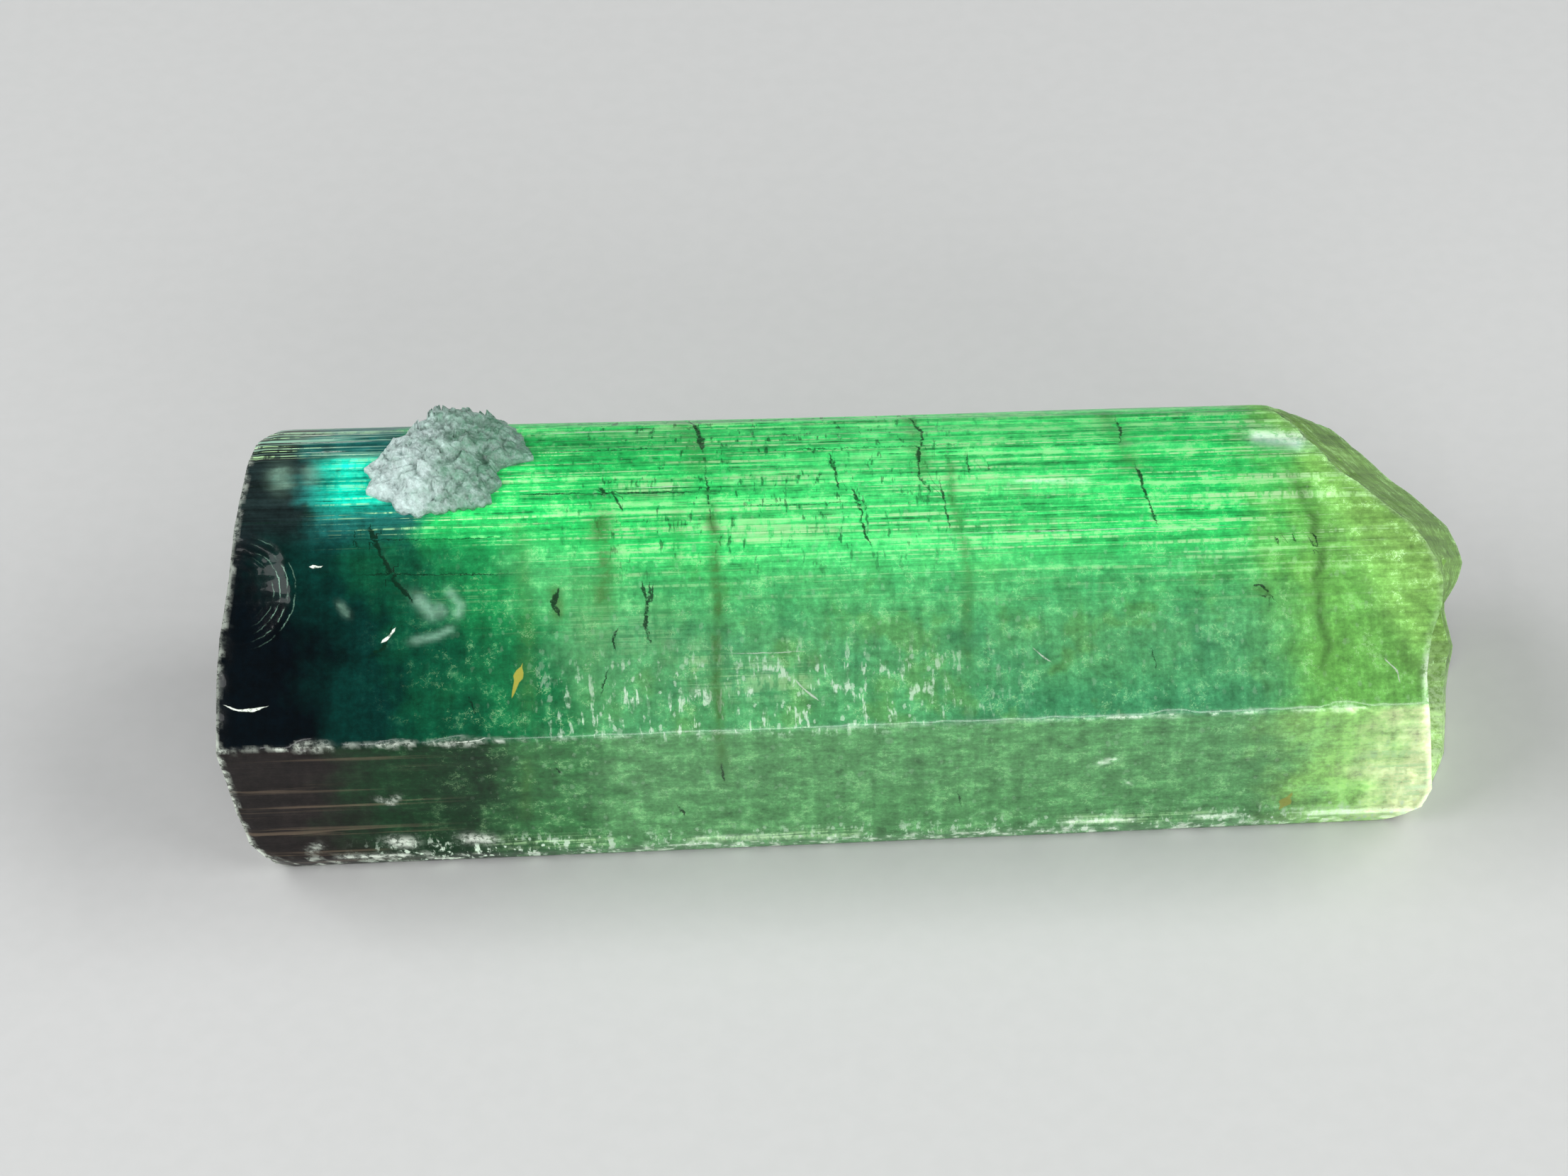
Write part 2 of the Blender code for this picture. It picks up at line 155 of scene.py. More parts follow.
# The broken base
BASE_SKYLINE = (
    (-9.0, -18.9), (-8.0, -20.4), (-7.55, -21.4), (-6.7, -22.2), (-5.5, -22.45), (-4.3, -22.55),
    (-3.5, -22.65), (-0.8, -22.6), (0.9, -22.45), (3.1, -22.15), (5.35, -21.9), (6.9, -21.7),
    (7.7, -21.5), (8.1, -21.1), (8.6, -20.2), (9.0, -19.0),
)
BASE_HOLLOW = 0.35
BASE_HOLLOW_REACH = (7.5, 6.0)
BASE_MIDDLE_NEAR = 3.5
BASE_SWELL_LENGTH = 1.5

# The shell-shaped scar: X and rise of its middle
SCAR_AT = (-21.95, 2.5)
SCAR_RADIUS = 2.1
SCAR_DEPTH = 0.30
SCAR_RINGS = 7
SCAR_RING_DEPTH = 0.03

# Chips out of the ridge: X, length and depth
RIDGE_CHIPS = (
    (-19.3, 1.8, 0.24), (-16.4, 1.3, 0.17), (-14.2, 1.7, 0.20), (10.6, 1.5, 0.13), (16.5, 1.7, 0.18)
)
RIDGE_GIRTH = 7.25
SMALL_CHIPS = 70
SMALL_CHIP_SEED = 21

# Marks on the sides. Each runs through points of (X, girth) and has a half width in the middle.
# Dark lines: fractures, deep growth lines and small pits
FRACTURES = (
    (((-6.19, 22.2), (-5.73, 20.1), (-5.54, 19.0), (-5.49, 18.3)), 0.10),
    (((-5.44, 18.3), (-5.36, 16.3), (-5.2, 14.6)), 0.03),
    (((-1.04, 18.3), (-0.86, 17.35), (-0.72, 16.1)), 0.07),
    (((-0.36, 16.5), (-0.04, 15.7), (0.05, 14.8), (0.18, 14.1), (0.46, 13.7)), 0.06),
    (((1.76, 21.3), (2.3, 19.5), (2.27, 18.6), (2.1, 18.0), (2.14, 16.8), (2.50, 15.9)), 0.07),
    (((2.77, 17.0), (3.09, 14.3)), 0.035),
    (((3.83, 18.2), (3.87, 16.7)), 0.03),
    (((4.55, 17.6), (4.60, 16.8)), 0.025),
    (((9.22, 20.7), (9.40, 19.2), (9.24, 18.0)), 0.05),
    (((9.74, 17.4), (9.90, 16.2), (10.15, 15.1), (10.40, 14.2)), 0.055),
    (((-17.25, 15.4), (-17.05, 14.7), (-16.75, 13.9), (-16.27, 13.0), (-15.6, 12.2)), 0.10),
    (((-17.78, 15.2), (-17.6, 14.2)), 0.035),
    (((-17.46, 10.35), (-16.79, 10.73), (-16.3, 11.77)), 0.06),
    (((-9.19, 16.75), (-8.95, 16.35), (-8.6, 16.5)), 0.09),
    (((-8.71, 16.37), (-8.35, 15.5)), 0.05),
    (((-7.78, 12.9), (-7.55, 12.1), (-7.66, 11.3), (-7.48, 10.5)), 0.08),
    (((-7.35, 12.8), (-7.42, 12.0)), 0.05),
    (((-8.57, 11.3), (-8.80, 10.7), (-8.70, 10.3)), 0.05),
    (((-8.95, 9.9), (-9.36, 8.6)), 0.025),
    (((-10.62, 12.7), (-10.85, 12.1), (-10.58, 11.6)), 0.11),
    (((-12.65, 16.48), (-10.3, 16.42), (-6.3, 16.3), (-5.5, 16.3)), 0.035),
    (((-5.4, 18.4), (-1.2, 18.45), (5.5, 18.5)), 0.022),
    (((-5.2, 15.7), (-2.2, 15.65), (1.0, 15.75)), 0.02),
    (((-11.5, 18.6), (-8.0, 18.75), (-6.2, 18.7)), 0.03),
    (((-11.0, 14.7), (-14.6, 14.6), (-18.6, 14.75)), 0.022),
    (((-11.5, 13.2), (-15.0, 13.3), (-18.9, 13.45)), 0.022),
    (((14.40, 13.8), (14.55, 13.4)), 0.04),
    (((15.00, 13.9), (15.16, 13.4)), 0.035),
    (((15.55, 13.9), (15.85, 13.7), (15.90, 13.3), (15.62, 13.5), (15.55, 13.9)), 0.035),
    (((13.51, 11.9), (13.85, 11.95), (14.20, 11.5), (13.6, 11.6)), 0.05),
    (((9.9, 9.9), (10.0, 9.2), (10.05, 8.9)), 0.03),
    (((-13.9, 9.0), (-13.6, 8.2)), 0.04),
    (((-11.0, 5.6), (-10.8, 5.2)), 0.07),
    (((-5.22, 5.6), (-5.17, 4.4)), 0.05),
    (((-6.9, 3.2), (-6.6, 2.5)), 0.07),
    (((3.0, 3.6), (3.2, 2.2)), 0.03),
)
FRACTURE_DEPTH = 0.05
LINE_REACH = 0.4

# Soft, brownish veils, which are healed fractures: points, half width and strength
VEILS = (
    (((-9.10, 15.9), (-9.05, 13.5), (-9.2, 11.6)), 0.42, 0.9),
    (((-5.31, 16.3), (-5.14, 14.3), (-5.10, 12.5), (-5.2, 10.7), (-5.2, 7.1), (-5.15, 4.4)), 0.22, 1.0),
    (((-6.6, 22.0), (-5.9, 19.6), (-5.6, 17.0)), 0.45, 0.5),
    (((3.2, 18.4), (3.2, 16.2), (3.52, 14.0), (3.69, 12.8), (3.57, 11.2), (3.37, 8.6)), 0.20, 0.7),
    (((1.9, 21.4), (2.0, 19.0), (2.35, 16.4)), 0.40, 0.6),
    (((8.7, 21.5), (9.3, 19.0), (9.7, 16.5)), 0.50, 0.6),
    (((15.0, 16.8), (15.7, 14.9), (16.07, 13.2), (15.82, 12.3), (15.75, 11.2), (16.05, 10.1), (15.8, 8.0)), 0.20, 1.0),
    (((-12.0, 15.5), (-11.7, 12.0), (-11.9, 8.0)), 0.30, 0.45),
    (((-9.8, 13.5), (-9.4, 10.5), (-9.6, 8.2)), 0.9, 0.35),
    (((-7.2, 12.5), (-7.0, 9.5)), 0.5, 0.3),
    (((-12.0, 6.6), (-12.1, 4.0), (-12.4, 2.6)), 0.2, 0.5),
    (((-10.75, 12.8), (-10.70, 11.5)), 0.25, 0.9),
    (((13.5, 11.8), (14.1, 11.7)), 0.22, 0.7),
    (((-6.4, 15.8), (-6.5, 13.0)), 0.25, 0.35),
)

# Where the matt zone at the termination begins: X at each girth
MATT_BEGINS = ((0.0, 22.0), (6.0, 20.5), (8.8, 19.0), (12.0, 17.3), (16.1, 15.6), (22.1, 13.6), (26.0, 13.6))

# Thin whitish scratches, and bright lines and dashes that are painted glints: points and half width
SCRATCHES = (
    (((-22.44, 8.96), (-21.93, 8.71), (-21.29, 8.69), (-20.70, 8.86)), 0.045),
    (((0.2, 14.23), (8.2, 14.2), (14.4, 14.22)), 0.015),
    (((-19.35, 13.72), (-18.85, 13.70)), 0.05),
    (((-16.9, 10.9), (-16.5, 11.2), (-16.3, 11.5)), 0.05),
    (((17.9, 9.2), (18.4, 8.6), (18.5, 8.1)), 0.03),
    (((-5.3, 10.12), (-3.4, 10.06), (-1.8, 10.1)), 0.012),
    (((-2.6, 9.2), (-2.2, 8.7), (-1.6, 8.2)), 0.03),
    (((5.7, 10.0), (6.1, 9.6), (6.5, 9.3)), 0.02),
    (((-14.6, 7.0), (-13.8, 7.25), (-13.2, 7.45)), 0.03),
    (((-20.5, 20.6), (-18.5, 20.7), (-16.9, 20.6)), 0.035),
    (((-20.9, 20.0), (-18.9, 19.9), (-16.9, 20.0)), 0.02),
    (((-20.0, 19.2), (-18.0, 19.25)), 0.02),
    (((-8.4, 16.6), (-5.6, 16.62)), 0.02),
    (((-12.4, 20.2), (-9.0, 20.3), (-7.0, 20.2)), 0.03),
)

# Frosted or broken patches, and painted glints along the foot and on the crown: points, half width and strength
FROSTED = (
    (((-19.2, 0.95), (-16.4, 0.85)), 0.12, 1.0),
    (((-17.3, 1.8), (-16.3, 1.65)), 0.26, 0.8),
    (((-14.6, 1.8), (-13.4, 1.6)), 0.24, 0.8),
    (((-20.2, 1.3), (-19.7, 1.8)), 0.12, 0.5),
    (((5.3, 16.4), (8.1, 16.3)), 0.12, 0.4),
    (((7.9, 4.6), (8.7, 4.9)), 0.13, 0.7),
    (((8.9, 3.6), (9.2, 3.3)), 0.07, 0.7),
    (((-17.4, 4.3), (-16.9, 4.0), (-16.6, 4.4)), 0.10, 0.6),
    (((13.8, 18.7), (14.8, 18.5), (16.0, 18.1)), 0.45, 0.55),
    (((-6.4, 1.2), (-2.6, 1.15)), 0.10, 0.6),
    (((6.9, 1.25), (9.4, 1.2)), 0.12, 0.9),
    (((11.4, 1.2), (13.2, 1.15)), 0.12, 0.8),
    (((15.3, 1.15), (19.6, 1.1)), 0.15, 0.8),
)

# Smooth milky patches: points, half width and strength
HAZES = (
    (((13.9, 18.4), (14.8, 18.15), (15.8, 17.9)), 0.42, 0.95),
    (((16.2, 19.4), (16.9, 19.9)), 0.4, 0.4),
    (((-15.6, 12.6), (-15.1, 11.9), (-14.6, 12.1)), 0.24, 0.5),
    (((-14.5, 12.8), (-14.1, 12.2), (-14.3, 11.7)), 0.16, 0.5),
    (((-15.9, 10.9), (-14.9, 11.1), (-14.4, 11.4)), 0.13, 0.45),
    (((-18.3, 12.4), (-18.0, 11.9)), 0.12, 0.3),
    (((-20.5, 18.2), (-20.3, 17.0)), 0.40, 0.45),
    (((-19.4, 18.2), (-19.3, 17.2)), 0.30, 0.25),
    (((9.0, 18.3), (12.0, 18.0)), 0.2, 0.15),
)

# Painted highlights: bright patches of fine lines, and a painted glow along the front face's foot and in its corner by
# the termination: points, half width and strength
SHINES = (
    (((-8.6, 16.8), (-7.4, 16.5), (-6.2, 16.6)), 0.45, 0.8),
    (((-7.4, 15.4), (-5.8, 15.2), (-4.8, 15.5)), 0.6, 0.5),
    (((-4.9, 14.9), (-2.8, 14.5), (-0.7, 14.7)), 0.6, 0.6),
    (((-12.4, 20.3), (-10.0, 20.4), (-7.0, 20.2)), 0.35, 0.6),
    (((-5.0, 17.0), (-3.0, 16.8), (-1.2, 17.0)), 0.35, 0.8),
    (((5.4, 16.45), (8.1, 16.35)), 0.13, 1.0),
    (((-0.6, 18.1), (1.4, 17.7)), 0.4, 0.4),
    (((2.6, 20.9), (5.0, 21.0), (7.8, 20.8)), 0.5, 0.35),
    (((9.8, 20.9), (13.0, 20.8)), 0.4, 0.4),
    (((0.4, 14.3), (4.0, 14.5), (8.0, 14.3)), 0.3, 0.35),
    (((3.0, 16.2), (8.0, 16.1)), 0.4, 0.3),
    (((-6.6, 9.9), (-4.4, 9.2), (-1.6, 9.0)), 0.7, 0.4),
    (((-10.4, 11.6), (-8.6, 10.9), (-6.6, 11.2)), 0.8, 0.22),
    (((-15.8, 17.9), (-18.8, 17.8)), 0.5, 0.06),
    (((-21.0, 20.9), (-18.8, 20.95), (-17.0, 20.9)), 0.25, 0.5),
    (((17.4, 5.0), (19.2, 3.6), (19.6, 1.6)), 1.3, 0.75),
    (((-13.5, 1.4), (-9.0, 1.3)), 0.3, 0.7),
    (((-6.8, 1.2), (-0.3, 1.15)), 0.28, 0.9),
    (((6.8, 1.35), (12.4, 1.3)), 0.28, 0.9),
    (((14.5, 1.2), (19.4, 1.1)), 0.35, 0.9),
)

# Warm flecks just under the surface: points and half width
FLECKS = (
    (((-12.38, 8.73), (-12.15, 9.45), (-11.93, 10.08)), 0.15),
    (((14.50, 1.40), (14.72, 1.9), (14.95, 2.45)), 0.20),
)


def linear(red, green, blue):
    """A colour given in the usual steps from 0 to 255, in the even steps that shaders use."""
    shares = (red / 255, green / 255, blue / 255)
    return tuple(s / 12.92 if s < 0.04045 else ((s + 0.055) / 1.055) ** 2.4 for s in shares)


def lattice_noise(u, v, seed):
    """Noise from -1 to 1: random values where u and v are whole, joined by smooth steps between."""
    table = np.random.default_rng(seed).uniform(-1, 1, (256, 256))
    u, v = np.broadcast_arrays(u, v)
    u0, v0 = np.floor(u).astype(int), np.floor(v).astype(int)
    across, up = u - u0, v - v0
    across, up = across**2 * (3 - 2 * across), up**2 * (3 - 2 * up)
    u0, v0, u1, v1 = u0 % 256, v0 % 256, (u0 + 1) % 256, (v0 + 1) % 256
    low = table[u0, v0] * (1 - across) + table[u1, v0] * across
    high = table[u0, v1] * (1 - across) + table[u1, v1] * across
    return low * (1 - up) + high * up


def smooth(low, high, value):
    """0 below low, 1 above high, and a smooth step between."""
    share = np.clip((value - low) / (high - low), 0, 1)
    return share**2 * (3 - 2 * share)


def rise_and_near(y, z):
    rise = z * math.cos(LEAN) + y * math.sin(LEAN) - RISE_MIDDLE
    near = z * math.sin(LEAN) - y * math.cos(LEAN)
    return rise, near


def narrowed(y, z, x):
    """The section shrinks towards the middle of its resting face from the base to the termination."""
    left = 1 - NARROWS_BY * np.clip((x - BASE_X) / (TIP_X - BASE_X), 0, 1)
    return y * left, z * left


def at_rise(table, rise):
    rises, values = np.array(table).T
    return np.interp(rise, rises, values)


def section():
    """Knots round the section: girth, y, z and groove depth, and where each face begins and ends."""
    rng = np.random.default_rng(GROOVE_SEED)
    y, z, girth = FOOT_Y, 0.0, 0.0
    knots, spans = [], []

    def along_face(name, looks, width):
        nonlocal y, z, girth
        a = math.radians(looks)
        way = (math.sin(a), math.cos(a))
        count, depth, begins = GROOVES.get(name, (0, 0.0, 0.0))
        knots.append((girth, y, z, 0.0))
        pitch = width * (1 - begins) / max(count, 1)
        for k in range(count):
            middle = width * begins + (k + 0.5 + rng.uniform(-0.16, 0.16)) * pitch
            half = pitch * rng.uniform(0.16, 0.26)
            cut = depth * rng.uniform(0.5, 1.0)
            for at, sunk in ((middle - half, 0.0), (middle + 0.3 * half, cut), (middle + half, 0.0)):
                knots.append((girth + at, y + way[0] * at, z + way[1] * at, sunk))
        spans.append((name, girth, girth + width, (-math.cos(a), math.sin(a))))
        y, z, girth = y + way[0] * width, z + way[1] * width, girth + width

    for name, looks, width in FACES:
        along_face(name, looks, width)
    along_face("under", UNDER_LOOKS, z / -math.cos(math.radians(UNDER_LOOKS)))
    rest_width = y - FOOT_Y
    knots.append((girth, y, z, 0.0))
    knots.append((girth + rest_width, FOOT_Y, 0.0, 0.0))
    spans.append(("rest", girth, girth + rest_width, (0.0, -1.0)))
    return np.array(knots), spans


KNOTS, SPANS = section()
GIRTH = KNOTS[-1, 0]
SPAN_OF = {name: (start, end) for name, start, end, _ in SPANS}
CORNER_BLEND = 0.07
SCAR_GIRTH = 12.9
SCAR_RING_STEP = 0.26


def round_section(girth):
    """y, z, the outward normal and the groove depth at each girth, by straight lines between knots."""
    y, z, sunk = (np.interp(girth, KNOTS[:, 0], KNOTS[:, k]) for k in (1, 2, 3))
    at, ny, nz = [], [], []
    for _, start, end, normal in SPANS:
        at += [start + CORNER_BLEND, end - CORNER_BLEND]
        ny += [normal[0]] * 2
        nz += [normal[1]] * 2
    ny, nz = (np.interp(girth, at, values, period=GIRTH) for values in (ny, nz))
    long = np.hypot(ny, nz)
    return y, z, ny / long, nz / long, sunk


def girth_at_rise(rise, x):
    """Where on the side that the camera sees a point with this X and rise lies."""
    shown = KNOTS[KNOTS[:, 0] <= SPAN_OF["brow_back"][1] + 1e-6]
    left = 1 - NARROWS_BY * np.clip((x - BASE_X) / (TIP_X - BASE_X), 0, 1)
    rises = shown[:, 2] * math.cos(LEAN) + shown[:, 1] * math.sin(LEAN)
    return np.interp((rise + RISE_MIDDLE) / left, rises, shown[:, 0])


def tip_height(rise, near):
    """X of the termination: the nose or the blade behind it, whichever stands out further."""
    behind = at_rise(NOSE_SKYLINE_NEAR, rise)
    nose = at_rise(NOSE_SKYLINE, rise) - at_rise(NOSE_FALLS, rise) * (near - behind)
    front = at_rise(BLADE_FRONT, rise)
    blade = at_rise(BLADE_SKYLINE, rise) - BLADE_FALLS * (near - front)
    return np.where(near <= front, np.maximum(nose, blade), nose)


def base_height(rise, near):
    """X of the broken base: its skyline, made hollow in the middle, with low swells."""
    up = rise / BASE_HOLLOW_REACH[0]
    across = (near - BASE_MIDDLE_NEAR) / BASE_HOLLOW_REACH[1]
    inside = np.clip(1 - up**2, 0, 1) * np.clip(1 - across**2, 0, 1)
    swell = 0.7 + 0.3 * np.sin(rise / BASE_SWELL_LENGTH + 1) * np.cos(near / BASE_SWELL_LENGTH)
    return at_rise(BASE_SKYLINE, rise) + BASE_HOLLOW * inside * swell


def columns():
    """The girth of each column of the mesh, with one column on every corner."""
    found = []
    for name, start, end, _ in SPANS:
        count = max(2, round((end - start) / COLUMN_STEPS[name]))
        found.append(np.linspace(start, end, count, endpoint=False))
    return np.concatenate(found)


def path_distance(x, girth, path):
    """Distance to a path through (X, girth) points, the share run along it, and the side, 1 or -1."""
    nearest = np.full(x.shape, 1e9)
    share = np.zeros(x.shape)
    side = np.ones(x.shape)
    for k, ((x0, g0), (x1, g1)) in enumerate(zip(path, path[1:])):
        along = ((x - x0) * (x1 - x0) + (girth - g0) * (g1 - g0)) / ((x1 - x0) ** 2 + (g1 - g0) ** 2)
        along = np.clip(along, 0, 1)
        distance = np.hypot(x - x0 - along * (x1 - x0), girth - g0 - along * (g1 - g0))
        turned = (x - x0) * (g1 - g0) - (girth - g0) * (x1 - x0)
        closer = distance < nearest
        nearest = np.where(closer, distance, nearest)
        share = np.where(closer, (k + along) / (len(path) - 1), share)
        side = np.where(closer, np.where(turned < 0, -1.0, 1.0), side)
    return nearest, share, side


def line_marks(x, girth, marks, pointed=4):
    """How far across the nearest line each point lies, with its side's sign, and the line's half width.

    The width tapers to less than nothing at the line's ends, and is less than nothing away from it.
    """
    across, width = np.full(x.shape, 1.0), np.full(x.shape, -1.0)
    nearest = np.full(x.shape, LINE_REACH)
    for k, (path, half) in enumerate(marks):
        distance, share, side = path_distance(x, girth, path)
        taper = np.clip(1 - np.abs(2 * share - 1) ** pointed, 0, 1)
        swell = 0.8 + 0.4 * lattice_noise(share * 7 + k, share * 0, 33)
        closer = distance < nearest
        nearest = np.where(closer, distance, nearest)
        across = np.where(closer, distance * side, across)
        width = np.where(closer, half * np.sqrt(taper) * swell - 0.04 * (1 - taper), width)
    return across, width


def soft_marks(x, girth, marks, seed):
    """The sum of soft bands, each a bell across its path that fades out at the path's ends."""
    total = np.zeros(x.shape)
    for path, half, strength in marks:
        distance, share, _ = path_distance(x + 0.10 * lattice_noise(x / 2, girth / 0.6, seed), girth, path)
        fade = smooth(0.0, 0.12, share) * smooth(1.0, 0.88, share)
        total = np.maximum(total, strength * np.exp(-((distance / half) ** 2)) * (0.25 + 0.75 * fade))
    return total


def scar_relief(x, girth):
    """The scar's bowl with rings round its middle, and how strongly a point belongs to it."""
    at = float(girth_at_rise(SCAR_AT[1], SCAR_AT[0]))
    angle = np.arctan2(girth - at, x - SCAR_AT[0])
    share = np.hypot(x - SCAR_AT[0], girth - at) / SCAR_RADIUS
    share = share * (1 + 0.05 * np.sin(3 * angle + 1) + 0.03 * np.sin(7 * angle))
    bowl = SCAR_DEPTH * np.clip(1 - share**2, 0, 1)
    rings = SCAR_RING_DEPTH * np.sin(2 * math.pi * SCAR_RINGS * share) * np.clip(share * 1.6, 0, 1)
    inside = smooth(1.12, 0.98, share)
    return bowl + rings * inside, inside


def chip_relief(x, girth):
    """The chips along the ridge, each a shallow boat-shaped bite: the named ones and small ones."""
    rng = np.random.default_rng(SMALL_CHIP_SEED)
    chips = [(at, 0.0, length, depth) for at, length, depth in RIDGE_CHIPS]
    for _ in range(SMALL_CHIPS):
        at = -22 + 42 * rng.uniform(0, 1) ** 1.8
        chips.append((at, rng.uniform(-0.10, 0.10), rng.uniform(0.2, 0.9), rng.uniform(0.01, 0.05)))
    total = np.zeros(x.shape)
    broken = np.zeros(x.shape)
    ragged = 0.25 * lattice_noise(x / 0.25, girth / 0.2, 51)
    for at, off, length, depth in chips:
        wide = 0.06 + 1.1 * depth
        share = ((x - at) / (length / 2)) ** 2 + ((girth - RIDGE_GIRTH - off) / wide) ** 2
        bite = np.clip(1 - share + ragged, 0, 1)
        total = np.maximum(total, depth * bite)
        broken = np.maximum(broken, np.clip(bite * 1.5, 0, 1) * min(1, depth / 0.08))
    return total, broken


def growth_relief(x, girth):
    """Long growth steps: noise drawn out along X, in sets that are ever finer across."""
    total = np.zeros(x.shape)
    for length, width, height, seed in GROWTH_LINES:
        total += height * (1 + lattice_noise(x / length, girth / width, seed))
    return total


def lined(girth):
    """How strongly each column is lined: by face, and more towards the top of the main face."""
    at, value = [], []
    for name, start, end, _ in SPANS:
        at += [start + 0.1, end - 0.1]
        value += [LINED[name], LINED[name] if name != "main" else 1.0]
    strength = np.interp(girth, at, value)
    low, high = SPAN_OF["main"]
    on_main = (girth > low) & (girth < high)
    return np.where(on_main, 0.12 + 0.88 * smooth(low + 2.5, high, girth), strength)


def groove_strength(x, girth):
    return 0.65 + 0.35 * np.sin(x / GROOVE_SWELL * 2 + girth * 5)


def corner_wear(girth):
    """How far each long corner is worn back, a narrow bell at every corner."""
    total = np.zeros(girth.shape)
    for name, start, _, _ in SPANS:
        worn = 0.05 if name == "main" else 0.025
        total += worn * np.exp(-(((girth - start) / 0.09) ** 2))
    return total


def mesh_piece(name, points, corners, counts, maps, attributes, material, node=None):
    """A smooth-shaded mesh at the origin from points in mm, face corners and corner counts."""
    mesh = bpy.data.meshes.new(name)
    mesh.vertices.add(len(points))
    mesh.vertices.foreach_set("co", (points * MM).astype(np.float32).ravel())
    mesh.loops.add(len(corners))
    mesh.loops.foreach_set("vertex_index", corners.astype(np.int32))
    mesh.polygons.add(len(counts))
    mesh.polygons.foreach_set("loop_start", (np.cumsum(counts) - counts).astype(np.int32))
    mesh.polygons.foreach_set("use_smooth", np.ones(len(counts), bool))
    mesh.update(calc_edges=True)
    for title, values in maps.items():
        layer = mesh.uv_layers.new(name=title)
        layer.data.foreach_set("uv", values.astype(np.float32).ravel())
    for title, values in attributes.items():
        layer = mesh.attributes.new(title, "FLOAT", "POINT")
        layer.data.foreach_set("value", values.astype(np.float32).ravel())
    mesh.materials.append(material)
    mesh.validate()
    made = bpy.data.objects.new(name, mesh)
    bpy.context.scene.collection.objects.link(made)
    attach(made, "root")
    if node:
        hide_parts(node)
    return made


def frame_shift():
    """From the crystal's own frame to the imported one, found by matching the middles of their boxes."""
    low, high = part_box(CRYSTAL_NODE)
    middle = (np.array(low) + np.array(high)) / 2 / MM
    return middle


class Finish:
    """A material being put together. Each call adds a node and gives its result."""

    def __init__(self, name):
        self.material = bpy.data.materials.new(name)
        self.material.use_nodes = True
        self.tree = self.material.node_tree
        self.shader = self.tree.nodes["Principled BSDF"]

    def feed(self, value, socket):
        if isinstance(value, bpy.types.NodeSocket):
            self.tree.links.new(value, socket)
        else:
            socket.default_value = (*value, 1) if socket.type == "RGBA" else value

    def math(self, operation, *values):
        node = self.tree.nodes.new("ShaderNodeMath")
        node.operation = operation
        for value, socket in zip(values, node.inputs):
            self.feed(value, socket)
        return node.outputs[0]

    def attribute(self, name):
        node = self.tree.nodes.new("ShaderNodeAttribute")
        node.attribute_name = name
        return node.outputs["Fac"]

    def place(self):
        """The three Object coordinates, in millimetres."""
        split = self.tree.nodes.new("ShaderNodeSeparateXYZ")
        self.feed(self.tree.nodes.new("ShaderNodeTexCoord").outputs["Object"], split.inputs[0])
        return [self.math("MULTIPLY", socket, 1 / MM) for socket in split.outputs]

    def map(self, name):
        """The two coordinates of a UV map."""
        node = self.tree.nodes.new("ShaderNodeUVMap")
        node.uv_map = name
        split = self.tree.nodes.new("ShaderNodeSeparateXYZ")
        self.feed(node.outputs[0], split.inputs[0])
        return split.outputs[0], split.outputs[1]

    def point(self, x, y, z=0.0):
        node = self.tree.nodes.new("ShaderNodeCombineXYZ")
        for value, socket in zip((x, y, z), node.inputs):
            self.feed(value, socket)
        return node.outputs[0]

    def noise(self, where, scale, detail=2.0, roughness=0.5, distortion=0.0):
        node = self.tree.nodes.new("ShaderNodeTexNoise")
        self.feed(where, node.inputs["Vector"])
        node.inputs["Scale"].default_value = scale
        node.inputs["Detail"].default_value = detail
        node.inputs["Roughness"].default_value = roughness
        node.inputs["Distortion"].default_value = distortion
        return node.outputs["Fac"]

    def flat_noise(self, where, detail=2.0, roughness=0.5):
        """Noise over two coordinates that are already scaled."""
        node = self.tree.nodes.new("ShaderNodeTexNoise")
        node.noise_dimensions = "2D"
        self.feed(where, node.inputs["Vector"])
        node.inputs["Scale"].default_value = 1.0
        node.inputs["Detail"].default_value = detail
        node.inputs["Roughness"].default_value = roughness
        return node.outputs["Fac"]

    def stretched(self, run, across, run_scale, across_scale):
        return self.point(self.math("MULTIPLY", run, run_scale), self.math("MULTIPLY", across, across_scale))

    def cells(self, where, scale, feature="F1"):
        node = self.tree.nodes.new("ShaderNodeTexVoronoi")
        node.feature = feature
        node.voronoi_dimensions = "3D" if isinstance(scale, float) and scale > 1 else "2D"
        self.feed(where, node.inputs["Vector"])
        node.inputs["Scale"].default_value = scale
        return node.outputs

    def span(self, value, low, high, first=0.0, second=1.0, smoothed=True):
        """first where value is at low, second where it is at high, and between them between."""
        node = self.tree.nodes.new("ShaderNodeMapRange")
        node.interpolation_type = "SMOOTHSTEP" if smoothed else "LINEAR"
        for amount, socket in zip((value, low, high, first, second), node.inputs):
            self.feed(amount, socket)
        return node.outputs[0]

    def bands(self, share, stops):
        """A colour ramp from stops of (share, colour)."""
        node = self.tree.nodes.new("ShaderNodeValToRGB")
        node.color_ramp.interpolation = "EASE"
        marks = node.color_ramp.elements
        while len(marks) < len(stops):
            marks.new(0.5)
        for mark, (at, colour) in zip(marks, stops):
            mark.position = at
            mark.color = (*colour, 1)
        self.feed(share, node.inputs[0])
        return node.outputs[0]

    def blend(self, share, first, second, kind="MIX"):
        node = self.tree.nodes.new("ShaderNodeMix")
        node.data_type = "RGBA"
        node.blend_type = kind
        self.feed(share, node.inputs["Factor"])
        self.feed(first, node.inputs[6])
        self.feed(second, node.inputs[7])
        return node.outputs[2]

    def bump(self, height, strength, distance, under=None):
        node = self.tree.nodes.new("ShaderNodeBump")
        node.inputs["Strength"].default_value = strength
        node.inputs["Distance"].default_value = distance
        self.feed(height, node.inputs["Height"])
        if under is not None:
            self.feed(under, node.inputs["Normal"])
        return node.outputs[0]

